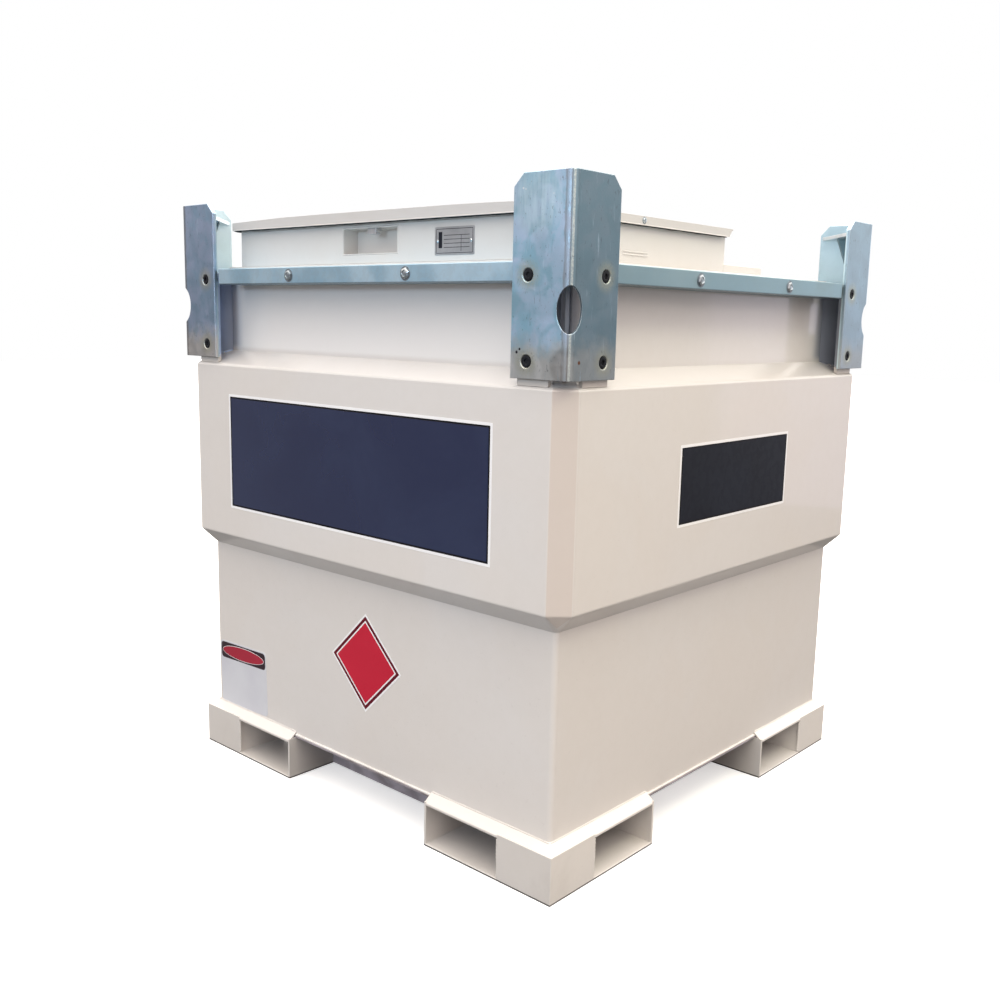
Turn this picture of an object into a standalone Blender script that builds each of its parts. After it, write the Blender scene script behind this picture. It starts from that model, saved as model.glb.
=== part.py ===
"""Square steel storage tank that can be lifted, stacked and carried on forks.

Metres, +Z up, origin at the bottom centre. The front face looks along -Y and the side with the
small panel looks along +X. The white tank is folded sheet. The corner posts, their seats and the
rails are zinc-coated steel. The cabinet lid on top turns about its rear edge.
"""

import math

import bmesh
import bpy
from mathutils import Vector

# Half widths of the square body, measured from the centre to the outer face.
LOWER_HALF = 0.538
BAND_HALF = 0.575
NECK_HALF = 0.510

# Heights of the folds in the body panels.
PANEL_BOTTOM = 0.1018
SLOPE_LOW = 0.514
SLOPE_HIGH = 0.5515
BAND_TOP = 0.950
NECK_LOW = 0.979
PANEL_TOP = 1.1647

SHEET = 0.004
FOLD_RADIUS = 0.006
LOWER_CORNER_RADIUS = 0.010
BAND_CHAMFER = 0.034
NECK_CHAMFER = 0.020

# Pieces that touch are drawn this far apart.
GAP = 0.0003

# Floor and deck plates.
FLOOR_BOTTOM = 0.0965
FLOOR_TOP = 0.1015
FLOOR_HALF = 0.541
DECK_BOTTOM = 1.165
DECK_TOP = 1.171
DECK_HALF = 0.513
FLOOR_CUT = 0.006

# Feet, each an L in plan with a fork pocket through each arm.
FOOT_HALF = 0.559
FOOT_INNER = 0.425
FOOT_END = 0.225
FOOT_WALL = 0.006
FOOT_PLATE = 0.005
FOOT_TOP = FLOOR_BOTTOM - GAP
POCKET_TOP = 0.088
FLANGE_FOLD = 0.093
FLANGE_TOP = 0.1105
FLANGE_THICK = 0.004
PLATE_LIFT = 0.002

# Corner posts.
POST_HALF = 0.582
POST_LEG_END = 0.452
POST_THICK = 0.010
POST_FOLD = 0.014
POST_BOTTOM = 0.965
POST_TOP = 1.308
POST_CHAMFER = 0.022
HOLE_HEIGHT = 0.079
HOLE_WIDTH = 0.042
HOLE_Z = 1.0825
HOLE_STEPS = 32
SINK_AT = 0.4875
SINK_LEVELS = (0.995, 1.140)
SINK_RADIUS = 0.012
SINK_FLOOR_RADIUS = 0.0105
SINK_DEPTH = 0.003
SINK_STEPS = 24

# Stacking seats between the legs of each post.
SEAT_TOP = 1.281
SEAT_THICK = 0.008
SEAT_END = 0.457
GUSSET_TIP = 1.130

# Brackets between the neck and the legs of each post.
PAD_START = 0.459
PAD_END = 0.530
PAD_OUT = POST_HALF - POST_THICK - GAP
PAD_PLATE = 0.009
PAD_TIE_LOW = 1.140
PAD_TOP = 1.155
WEB_TIP = 0.548
WEB_THICK = 0.008
WEB_TOP = 1.147

# Rails between the posts.
RAIL_OUT = 0.578
RAIL_LOW = 1.129
RAIL_HIGH = 1.1635
RAIL_WALL = 0.004
RAIL_FAR_END = 0.440
RAIL_NEAR_END = POST_LEG_END - GAP

# Cabinet on the deck.
CAB_HALF = 0.447
CAB_FRONT = -0.510
CAB_BACK = 0.122
CAB_SHEET = 0.003
CAB_TOP = 1.260
RECESS_HALF = 0.085
RECESS_LOW = 1.1885
RECESS_HIGH = 1.2445
RECESS_DEPTH = 0.042
PAN_SHEET = 0.0025

# Catch hook under the top of the recess.
CATCH_HALF = 0.013
CATCH_SETBACK = 0.006
CATCH_DEPTH = 0.016
CATCH_THROAT = 0.012
CATCH_THICK = 0.004

# Lid of the cabinet.
LID_HALF = 0.460
LID_FRONT = -0.525
LID_BACK = 0.132
LID_LOW = 1.251
LID_EDGE_TOP = 1.2685
LID_CROWN = 0.005
LID_SHEET = 0.003
LID_SLANT = 0.011
LID_STATIONS = (0.0, 0.3, 0.6, 0.8, 0.93, 1.0)

# Hinges behind the lid.
HINGE_Y = 0.141
HINGE_Z = 1.251
HINGE_X = 0.300
PIN_RADIUS = 0.004
PIN_PLAY = 0.0005
KNUCKLE_RADIUS = 0.008
KNUCKLE_HALF = 0.015
CHEEK_WIDTH = 0.008
CHEEK_GAP = 0.001
CHEEK_LOW = 1.2655
CHEEK_TOP = 1.2715
LEAF_LOW = 1.198
LEAF_HIGH = 1.2415
LEAF_THICK = 0.004
BRACE_DROP = 0.030

# Low cover behind the cabinet.
COVER_BACK = 0.290
COVER_TOP = 1.194

WHITE = (0.86, 0.85, 0.83, 1.0)
ZINC = (0.52, 0.57, 0.62, 1.0)


def clear_scene():
    """Start from an empty scene."""
    for item in list(bpy.data.objects):
        bpy.data.objects.remove(item, do_unlink=True)


def material(name, color, metallic, roughness):
    """A plain Principled material of one colour."""
    mat = bpy.data.materials.new(name)
    mat.use_nodes = True
    shader = mat.node_tree.nodes["Principled BSDF"]
    shader.inputs["Base Color"].default_value = color
    shader.inputs["Metallic"].default_value = metallic
    shader.inputs["Roughness"].default_value = roughness
    mat.diffuse_color = color
    return mat


def white(name):
    """White paint of one piece."""
    return material("paint_" + name, WHITE, 0.0, 0.3)


def zinc(name):
    """Zinc coat of one piece."""
    return material("zinc_" + name, ZINC, 0.9, 0.45)


def make(name, points, faces, mat):
    """Link a mesh object, with its faces turned outwards."""
    mesh = bpy.data.meshes.new(name)
    mesh.from_pydata([tuple(p) for p in points], [], faces)
    mesh.materials.append(mat)
    shape = bmesh.new()
    shape.from_mesh(mesh)
    bmesh.ops.recalc_face_normals(shape, faces=shape.faces)
    shape.to_mesh(mesh)
    shape.free()
    item = bpy.data.objects.new(name, mesh)
    bpy.context.scene.collection.objects.link(item)
    return item


def prism(name, outline, low, high, mat):
    """A plan outline drawn up from one height to another."""
    count = len(outline)
    points = [(x, y, low) for x, y in outline] + [(x, y, high) for x, y in outline]
    faces = [tuple(range(count)), tuple(range(count, 2 * count))]
    faces += [(i, (i + 1) % count, count + (i + 1) % count, count + i) for i in range(count)]
    return make(name, points, faces, mat)


def block(name, low, high, mat):
    """A box between two corners."""
    outline = [(low[0], low[1]), (high[0], low[1]), (high[0], high[1]), (low[0], high[1])]
    return prism(name, outline, low[2], high[2], mat)


def side_prism(name, outline, start, end, mat):
    """An outline in Y and Z drawn along X."""
    count = len(outline)
    points = [(start, y, z) for y, z in outline] + [(end, y, z) for y, z in outline]
    faces = [tuple(range(count)), tuple(range(count, 2 * count))]
    faces += [(i, (i + 1) % count, count + (i + 1) % count, count + i) for i in range(count)]
    return make(name, points, faces, mat)


def combine(item, other, operation):
    """Join or cut one closed piece with another, and keep the result as a plain mesh."""
    other.hide_render = True
    other.display_type = "WIRE"
    step = item.modifiers.new(operation.lower(), "BOOLEAN")
    step.operation = operation
    step.solver = "EXACT"
    step.object = other
    bpy.context.view_layer.update()
    evaluated = item.evaluated_get(bpy.context.evaluated_depsgraph_get())
    mesh = bpy.data.meshes.new_from_object(evaluated)
    item.modifiers.clear()
    item.data = mesh
    bpy.data.objects.remove(other, do_unlink=True)
    return item


def soften(item, width, segments=2, angle=35.0):
    """Round every sharp edge a little, as a sheared and painted edge is."""
    shape = bmesh.new()
    shape.from_mesh(item.data)
    bmesh.ops.dissolve_limit(shape, angle_limit=math.radians(1.0), verts=shape.verts,
                             edges=shape.edges)
    sharp = [e for e in shape.edges if e.is_manifold and e.calc_face_angle() > math.radians(angle)]
    bmesh.ops.bevel(shape, geom=sharp, offset=width, offset_type="OFFSET", segments=segments,
                    profile=0.5, affect="EDGES", clamp_overlap=True)
    bmesh.ops.recalc_face_normals(shape, faces=shape.faces)
    shape.to_mesh(item.data)
    shape.free()
    return item


def shade(item, angle=40.0):
    """Smooth shading that keeps edges sharper than the angle."""
    item.data.shade_smooth()
    item.data.set_sharp_from_angle(angle=math.radians(angle))
    return item


def turned(outline, quarter):
    """A plan outline turned about the centre by quarter turns."""
    for _ in range(quarter):
        outline = [(-y, x) for x, y in outline]
    return outline


def turn_piece(item, quarter):
    """Turn a finished piece about the centre by quarter turns, in its mesh."""
    for vertex in item.data.vertices:
        x, y, z = vertex.co
        for _ in range(quarter):
            x, y = -y, x
        vertex.co = (x, y, z)
    return item


def fold_profile(offset):
    """Half width and height down one body panel, with rounded folds, moved inwards by offset."""
    corners = [(LOWER_HALF, PANEL_BOTTOM), (LOWER_HALF, SLOPE_LOW), (BAND_HALF, SLOPE_HIGH),
               (BAND_HALF, BAND_TOP), (NECK_HALF, NECK_LOW), (NECK_HALF, PANEL_TOP)]
    moved = [(corners[0][0] - offset, corners[0][1])]
    for before, here, after in zip(corners, corners[1:], corners[2:]):
        into = Vector((here[0] - before[0], here[1] - before[1])).normalized()
        out = Vector((after[0] - here[0], after[1] - here[1])).normalized()
        side_in = Vector((-into.y, into.x))
        side_out = Vector((-out.y, out.x))
        mitre = (side_in + side_out).normalized()
        reach = offset / mitre.dot(side_in)
        centre = Vector(here) + mitre * reach
        half_turn = 0.5 * into.angle(out)
        convex = into.cross(out) > 0.0
        radius = FOLD_RADIUS if convex else FOLD_RADIUS - SHEET
        radius = radius - offset if convex else radius + offset
        tangent = radius * math.tan(half_turn)
        bulge = radius * (1.0 / math.cos(half_turn) - 1.0)
        inward = mitre if convex else -mitre
        moved.append(tuple(centre - into * tangent))
        moved.append(tuple(centre + inward * bulge))
        moved.append(tuple(centre + out * tangent))
    moved.append((corners[-1][0] - offset, corners[-1][1]))
    return moved


def arc_corner(radius):
    """Six steps round a plain corner, as distances back from the sharp corner."""
    steps = [math.radians(18.0 * i) for i in range(6)]
    return [(radius * (1.0 - math.cos(a)), radius * (1.0 - math.sin(a))) for a in steps]


def chamfer_corner(size, radius):
    """Six steps round a chamfered corner with two small folds."""
    lead = radius * math.tan(math.radians(22.5))
    bulge = radius * (1.0 / math.cos(math.radians(22.5)) - 1.0)
    slant = lead * math.sqrt(0.5)
    across = bulge * math.cos(math.radians(22.5))
    along = bulge * math.sin(math.radians(22.5))
    half = [(0.0, size + lead), (across, size + along), (slant, size - slant)]
    return half + [(y, x) for x, y in reversed(half)]


def corner_at(level, offset):
    """Corner steps of the body on one level, blended between its three corner shapes."""
    half, height = level[0] + offset, level[1]
    ease = offset * (2.0 - math.sqrt(2.0))
    band = chamfer_corner(BAND_CHAMFER - ease, FOLD_RADIUS - offset)
    if height < 0.5 * (SLOPE_HIGH + BAND_TOP):
        share = (half - LOWER_HALF) / (BAND_HALF - LOWER_HALF)
        first, second = arc_corner(LOWER_CORNER_RADIUS - offset), band
    else:
        share = (BAND_HALF - half) / (BAND_HALF - NECK_HALF)
        first, second = band, chamfer_corner(NECK_CHAMFER - ease, FOLD_RADIUS - offset)
    share = min(max(share, 0.0), 1.0)
    return [((1.0 - share) * a[0] + share * b[0], (1.0 - share) * a[1] + share * b[1])
            for a, b in zip(first, second)]


def loft(name, outer, inner, mat):
    """Close the space between two grids of points that face each other."""
    rows = len(outer)
    count = len(outer[0])
    points = [p for row in outer for p in row] + [p for row in inner for p in row]
    shift = rows * count
    faces = []
    for r in range(rows - 1):
        for c in range(count - 1):
            a = r * count + c
            quad = (a, a + 1, a + count + 1, a + count)
            faces.append(quad)
            faces.append(tuple(shift + i for i in reversed(quad)))
    for c in range(count - 1):
        low = c
        high = (rows - 1) * count + c
        faces.append((low, low + shift, low + shift + 1, low + 1))
        faces.append((high, high + 1, high + 1 + shift, high + shift))
    for r in range(rows - 1):
        left = r * count
        right = r * count + count - 1
        faces.append((left, left + count, left + count + shift, left + shift))
        faces.append((right, right + shift, right + count + shift, right + count))
    return make(name, points, faces, mat)


def body_panel(name, quarter, wraps):
    """One folded side of the tank. Front and back wrap the corners, the others fit between."""
    grids = []
    for offset in (0.0, SHEET):
        grid = []
        for level in fold_profile(offset):
            half, height = level
            steps = corner_at(level, offset)
            if wraps:
                right = [(half - dx, -(half - dy)) for dx, dy in steps]
                left = [(-x, y) for x, y in reversed(right)]
                plan = right + left
            else:
                end = half - steps[0][1] - GAP
                plan = [(end, -half), (-end, -half)]
            plan = turned(plan, quarter)
            grid.append([(x, y, height) for x, y in plan])
        grids.append(grid)
    return shade(loft(name, grids[0], grids[1], white(name)), 60.0)


def plate_outline(half, cut):
    """Square plan with its corners cut off at 45 degrees."""
    inner = half - cut
    return [(-inner, -half), (inner, -half), (half, -inner), (half, inner), (inner, half),
            (-inner, half), (-half, inner), (-half, -inner)]


def foot_flange(name, mat):
    """Sloping strip along both outer sides of the near foot, mitred at the corner."""
    slope = math.atan2(FLANGE_TOP - FLANGE_FOLD, FOOT_HALF - LOWER_HALF)
    drop = FLANGE_THICK / math.cos(slope)
    inner = LOWER_HALF + GAP
    back = FOOT_HALF - FOOT_WALL
    under = FLANGE_FOLD - drop + (FOOT_HALF - back) * math.tan(slope)
    profile = [(FOOT_HALF, POCKET_TOP), (FOOT_HALF, FLANGE_FOLD), (inner, FLANGE_TOP),
               (inner, FLANGE_TOP - drop), (back, under), (back, POCKET_TOP)]
    points = [(FOOT_END, -r, z) for r, z in profile]
    points += [(r, -r, z) for r, z in profile]
    points += [(r, -FOOT_END, z) for r, z in profile]
    count = len(profile)
    faces = [tuple(range(count)), tuple(range(2 * count, 3 * count))]
    for start in (0, count):
        faces += [(start + i, start + (i + 1) % count, start + count + (i + 1) % count,
                   start + count + i) for i in range(count)]
    return make(name, points, faces, mat)


def foot(name, quarter):
    """Corner foot: a corner tube, a plate under each pocket, two end walls and a top flange."""
    mat = white(name)
    near = -FOOT_HALF
    tube = block(name, (FOOT_INNER, near, 0.0), (FOOT_HALF, -FOOT_INNER, FOOT_TOP), mat)
    low = (FOOT_INNER + FOOT_WALL, near + FOOT_WALL, FOOT_PLATE)
    high = (FOOT_HALF - FOOT_WALL, -FOOT_INNER - FOOT_WALL, FOOT_TOP + 0.01)
    combine(tube, block("bore", low, high, mat), "DIFFERENCE")
    arm = block("arm", (FOOT_END, near, 0.0), (FOOT_INNER + 0.003, -FOOT_INNER, FOOT_TOP), mat)
    low = (FOOT_END + FOOT_PLATE, near - 0.01, FOOT_PLATE)
    high = (FOOT_INNER + 0.01, -FOOT_INNER + 0.01, FOOT_TOP + 0.01)
    combine(arm, block("pocket", low, high, mat), "DIFFERENCE")
    combine(tube, arm, "UNION")
    arm = block("arm", (FOOT_INNER, -FOOT_INNER - 0.003, 0.0), (FOOT_HALF, -FOOT_END, FOOT_TOP), mat)
    low = (FOOT_INNER - 0.01, -FOOT_INNER - 0.01, FOOT_PLATE)
    high = (FOOT_HALF + 0.01, -FOOT_END - FOOT_PLATE, FOOT_TOP + 0.01)
    combine(arm, block("pocket", low, high, mat), "DIFFERENCE")
    combine(tube, arm, "UNION")
    combine(tube, foot_flange("flange", mat), "UNION")
    turn_piece(soften(tube, 0.0008, 1), quarter)
    return shade(tube, 30.0)


def cross_plate(name, quarter):
    """Upright plate under the floor between two feet, clear of the ground."""
    half = FOOT_END - GAP
    item = block(name, (-half, -FOOT_INNER - FOOT_WALL, PLATE_LIFT), (half, -FOOT_INNER, FOOT_TOP),
                 white(name))
    return shade(turn_piece(soften(item, 0.0008, 1), quarter), 30.0)


def post_outline(half, thick, fold, end, steps=6):
    """Plan of an angle with a rounded fold, at the corner with +X and -Y."""
    inner_fold = fold - thick
    outer = []
    inner = []
    for i in range(steps + 1):
        a = math.radians(90.0 * i / steps)
        outer.append((half - fold + fold * math.sin(a), -(half - fold + fold * math.cos(a))))
        inner.append((half - fold + inner_fold * math.sin(a),
                      -(half - fold + inner_fold * math.cos(a))))
    start = [(end, -half)]
    finish = [(half, -end), (half - thick, -end)]
    return start + outer + finish + list(reversed(inner)) + [(end, -half + thick)]


def lifting_slot(mat):
    """Tall oval cutter that runs out through the fold at 45 degrees."""
    outline = []
    for i in range(HOLE_STEPS):
        a = math.radians(360.0 * i / HOLE_STEPS)
        outline.append((0.5 * HOLE_WIDTH * math.cos(a), 0.5 * HOLE_HEIGHT * math.sin(a)))
    root = math.sqrt(0.5)
    points = []
    for reach in (-0.045, 0.030):
        for across, up in outline:
            x = POST_HALF + root * (reach + across)
            y = -POST_HALF - root * (reach - across)
            points.append((x, y, HOLE_Z + up))
    count = len(outline)
    faces = [tuple(range(count)), tuple(range(count, 2 * count))]
    faces += [(i, (i + 1) % count, count + (i + 1) % count, count + i) for i in range(count)]
    return make("slot", points, faces, mat)


def screw_sink(level, flip, mat):
    """Cutter for a countersink in a leg, a cone that narrows to a flat floor."""
    slope = (SINK_RADIUS - SINK_FLOOR_RADIUS) / SINK_DEPTH
    points = []
    for depth in (-0.001, SINK_DEPTH):
        radius = SINK_RADIUS - slope * depth
        face = -POST_HALF + depth
        for i in range(SINK_STEPS):
            a = math.radians(360.0 * i / SINK_STEPS)
            u = SINK_AT + radius * math.cos(a)
            z = level + radius * math.sin(a)
            points.append((-face, -u, z) if flip else (u, face, z))
    count = SINK_STEPS
    faces = [tuple(range(count)), tuple(range(count, 2 * count))]
    faces += [(i, (i + 1) % count, count + (i + 1) % count, count + i) for i in range(count)]
    return make("sink", points, faces, mat)


def post(name, quarter):
    """Folded corner post with two top corners cut off, a lifting hole and four countersinks."""
    mat = zinc(name)
    outline = post_outline(POST_HALF, POST_THICK, POST_FOLD, POST_LEG_END)
    item = prism(name, outline, POST_BOTTOM, POST_TOP, mat)
    combine(item, lifting_slot(mat), "DIFFERENCE")
    low = POST_TOP - POST_CHAMFER
    edge = POST_LEG_END
    for flip in (False, True):
        wedge = [(edge - 0.01, low - 0.01), (edge + POST_CHAMFER + 0.01, POST_TOP + 0.01),
                 (edge - 0.01, POST_TOP + 0.01)]
        points = []
        for depth in (-POST_HALF - 0.01, -POST_HALF + 0.03):
            points += [(-depth, -u, z) if flip else (u, depth, z) for u, z in wedge]
        faces = [(0, 1, 2), (3, 4, 5), (0, 1, 4, 3), (1, 2, 5, 4), (2, 0, 3, 5)]
        combine(item, make("wedge", points, faces, mat), "DIFFERENCE")
        for level in SINK_LEVELS:
            combine(item, screw_sink(level, flip, mat), "DIFFERENCE")
    turn_piece(soften(item, 0.0008, 1), quarter)
    return shade(item, 30.0)


def seat(name, quarter):
    """Triangular stacking seat between the legs, with a gusset down into the fold."""
    mat = zinc(name)
    inner = POST_HALF - POST_THICK - GAP
    blunt = POST_FOLD - POST_THICK
    outline = [(SEAT_END, -inner), (inner - blunt, -inner), (inner, -inner + blunt),
               (inner, -SEAT_END)]
    item = prism(name, outline, SEAT_TOP - SEAT_THICK, SEAT_TOP, mat)
    root = math.sqrt(0.5)
    half = 0.5 * SEAT_THICK * root
    fold = POST_HALF - POST_FOLD + (POST_FOLD - POST_THICK) * root - GAP
    middle = 0.5 * (SEAT_END + inner) + 0.004
    top = SEAT_TOP - 0.5 * SEAT_THICK
    side = [(middle, top), (fold - half, top), (fold - half, GUSSET_TIP),
            (fold - half - 0.010, GUSSET_TIP)]
    points = [(u - half, -u - half, z) for u, z in side]
    points += [(u + half, -u + half, z) for u, z in side]
    faces = [(0, 1, 2, 3), (4, 5, 6, 7), (0, 1, 5, 4), (1, 2, 6, 5), (2, 3, 7, 6), (3, 0, 4, 7)]
    combine(item, make("gusset", points, faces, mat), "UNION")
    turn_piece(soften(item, 0.0008, 1), quarter)
    return shade(item, 30.0)


def frustum(name, mat):
    """The space taken by the shoulder, a little enlarged, to cut the pad bottoms to its slope."""
    run = (BAND_HALF - NECK_HALF) / (NECK_LOW - BAND_TOP)
    low = BAND_TOP - 0.012
    wide = BAND_HALF + run * 0.012
    lift = 0.0008
    points = []
    for half, z in ((wide, low), (NECK_HALF, NECK_LOW)):
        points += [(-half, -half, z + lift), (half, -half, z + lift), (half, half, z + lift),
                   (-half, half, z + lift)]
    faces = [(0, 1, 2, 3), (4, 5, 6, 7), (0, 1, 5, 4), (1, 2, 6, 5), (2, 3, 7, 6), (3, 0, 4, 7)]
    return make(name, points, faces, mat)


def pad(name, quarter):
    """Bracket between neck and post, a tie plate that carries two upright plates and a web."""
    mat = white(name)
    near = NECK_HALF + GAP
    low = BAND_TOP - 0.004
    outline = [(PAD_START, -near), (PAD_START, -PAD_OUT), (PAD_END, -PAD_OUT), (PAD_END, -PAD_END),
               (PAD_OUT, -PAD_END), (PAD_OUT, -PAD_START), (near, -PAD_START), (near, -near)]
    item = prism(name, outline, PAD_TIE_LOW, PAD_TOP, mat)
    depth = -PAD_OUT + PAD_PLATE
    for flat in ([(PAD_START, -PAD_OUT), (PAD_END, -PAD_OUT), (PAD_END, depth), (PAD_START, depth)],
                 [(-depth, -PAD_END), (PAD_OUT, -PAD_END), (PAD_OUT, -PAD_START),
                  (-depth, -PAD_START)]):
        combine(item, prism("plate", flat, low, PAD_TOP, mat), "UNION")
    side = 0.5 * WEB_THICK * math.sqrt(0.5)
    root = NECK_HALF - 0.5 * NECK_CHAMFER + GAP
    strip = [(root - side, -root - side), (WEB_TIP - side, -WEB_TIP - side),
             (WEB_TIP + side, -WEB_TIP + side), (root + side, -root + side)]
    combine(item, prism("web", strip, low, WEB_TOP, mat), "UNION")
    combine(item, frustum("shoulder", mat), "DIFFERENCE")
    turn_piece(soften(item, 0.0008, 1), quarter)
    return shade(item, 30.0)


def rail(name, quarter):
    """Square-ended rectangular tube along one side of the neck, with one end at a post."""
    mat = zinc(name)
    inner = NECK_HALF + GAP
    low, high = -RAIL_FAR_END, RAIL_NEAR_END
    if quarter % 2 == 1:
        low, high = -RAIL_NEAR_END, RAIL_FAR_END
    item = block(name, (low, -RAIL_OUT, RAIL_LOW), (high, -inner, RAIL_HIGH), mat)
    bore = block("bore", (low - 0.01, -RAIL_OUT + RAIL_WALL, RAIL_LOW + RAIL_WALL),
                 (high + 0.01, -inner - RAIL_WALL, RAIL_HIGH - RAIL_WALL), mat)
    combine(item, bore, "DIFFERENCE")
    turn_piece(soften(item, 0.0012, 2), quarter)
    return shade(item, 30.0)


def cabinet():
    """Four walls on the deck, the recessed pan in the front one, and its catch."""
    low = DECK_TOP + GAP
    inner = CAB_HALF - CAB_SHEET
    front = block("cabinet_front", (-CAB_HALF, CAB_FRONT, low),
                  (CAB_HALF, CAB_FRONT + CAB_SHEET, CAB_TOP), white("cabinet_front"))
    hole = block("hole", (-RECESS_HALF, CAB_FRONT - 0.01, RECESS_LOW),
                 (RECESS_HALF, CAB_FRONT + 0.01, RECESS_HIGH), white("hole"))
    combine(front, hole, "DIFFERENCE")
    shade(soften(front, 0.0006, 1), 30.0)
    back = block("cabinet_back", (-CAB_HALF, CAB_BACK - CAB_SHEET, low),
                 (CAB_HALF, CAB_BACK, CAB_TOP), white("cabinet_back"))
    shade(soften(back, 0.0006, 1), 30.0)
    start = CAB_FRONT + CAB_SHEET + GAP
    end = CAB_BACK - CAB_SHEET - GAP
    for name, sign in (("cabinet_right", 1.0), ("cabinet_left", -1.0)):
        xs = sorted((sign * inner, sign * CAB_HALF))
        wall = block(name, (xs[0], start, low), (xs[1], end, CAB_TOP), white(name))
        shade(soften(wall, 0.0006, 1), 30.0)


def recess():
    """Hand recess in the front wall, open to the front, with a small catch under its top."""
    half = RECESS_HALF - GAP
    low = RECESS_LOW + GAP
    high = RECESS_HIGH - GAP
    pan = block("handle_pan", (-half, CAB_FRONT, low), (half, CAB_FRONT + RECESS_DEPTH, high),
                white("handle_pan"))
    hollow = block("hollow", (-half + PAN_SHEET, CAB_FRONT - 0.01, low + PAN_SHEET),
                   (half - PAN_SHEET, CAB_FRONT + RECESS_DEPTH - PAN_SHEET, high - PAN_SHEET),
                   white("hollow"))
    combine(pan, hollow, "DIFFERENCE")
    shade(soften(pan, 0.0006, 1), 30.0)
    top = high - PAN_SHEET - GAP
    near = CAB_FRONT + CATCH_SETBACK
    thick = CATCH_THICK
    hook = [(near, top), (near + CATCH_DEPTH, top), (near + CATCH_DEPTH, top - thick),
            (near + thick, top - thick), (near + thick, top - 2.0 * thick),
            (near + CATCH_THROAT, top - 2.0 * thick), (near + CATCH_THROAT, top - 3.0 * thick),
            (near, top - 3.0 * thick)]
    catch = side_prism("catch", hook, -CATCH_HALF, CATCH_HALF, zinc("catch"))
    shade(soften(catch, 0.0005, 1), 30.0)


def lid_top(x):
    """Height of the lid across X: a low crown that falls towards the two ends."""
    share = abs(x) / LID_HALF
    return LID_EDGE_TOP + LID_CROWN * (1.0 - share ** 4)


def cabinet_lid():
    """Shallow pressed lid with a low crown and a rim on three sides, cut at a slant at the rear."""
    stations = [-s for s in reversed(LID_STATIONS[1:])] + list(LID_STATIONS)
    layers = []
    for inset, drop in ((0.0, 0.0), (LID_SHEET, LID_SHEET)):
        half = LID_HALF - inset
        rows = (LID_FRONT + inset, LID_BACK - inset)
        layers.append([[(s * half, y, lid_top(s * LID_HALF) - drop) for s in stations]
                       for y in rows])
    count = len(stations)
    points = []
    faces = []
    rings = []
    for layer in layers:
        base = len(points)
        points += layer[0] + layer[1]
        strip = [(base + i, base + i + 1, base + count + i + 1, base + count + i)
                 for i in range(count - 1)]
        faces += strip
        ring = [base + i for i in range(count)] + [base + count + i for i in reversed(range(count))]
        foot_start = len(points)
        points += [(points[i][0], points[i][1], LID_LOW) for i in ring]
        feet = list(range(foot_start, foot_start + len(ring)))
        size = len(ring)
        faces += [(ring[i], ring[(i + 1) % size], feet[(i + 1) % size], feet[i])
                  for i in range(size)]
        rings.append(feet)
    size = len(rings[0])
    faces += [(rings[0][i], rings[0][(i + 1) % size], rings[1][(i + 1) % size], rings[1][i])
              for i in range(size)]
    mat = white("cabinet_lid")
    item = make("cabinet_lid", points, faces, mat)
    step = LID_EDGE_TOP - LID_SHEET - 0.0005
    run = LID_SLANT / (step - LID_LOW)
    low = LID_LOW - 0.010
    wedge = [(LID_BACK - LID_SHEET, step), (LID_BACK + 0.010, step), (LID_BACK + 0.010, low),
             (LID_BACK - LID_SHEET - run * (step - low), low)]
    combine(item, side_prism("wedge", wedge, -LID_HALF - 0.010, LID_HALF + 0.010, mat), "DIFFERENCE")
    soften(item, 0.0012, 2, 50.0)
    return shade(item, 30.0)


def rear_cover():
    """Low box over the deck fittings behind the cabinet, open underneath."""
    low = DECK_TOP + GAP
    start = CAB_BACK + GAP
    mat = white("rear_cover")
    item = block("rear_cover", (-CAB_HALF, start, low), (CAB_HALF, COVER_BACK, COVER_TOP), mat)
    hollow = block("hollow", (-CAB_HALF + CAB_SHEET, start + CAB_SHEET, low - 0.01),
                   (CAB_HALF - CAB_SHEET, COVER_BACK - CAB_SHEET, COVER_TOP - CAB_SHEET), mat)
    combine(item, hollow, "DIFFERENCE")
    return shade(soften(item, 0.001, 1), 30.0)


def disc(name, radius, start, end, mat, steps=20):
    """Round bar along X on the hinge axis."""
    outline = [(HINGE_Y + radius * math.cos(2.0 * math.pi * i / steps),
                HINGE_Z + radius * math.sin(2.0 * math.pi * i / steps)) for i in range(steps)]
    return side_prism(name, outline, start, end, mat)


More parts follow.
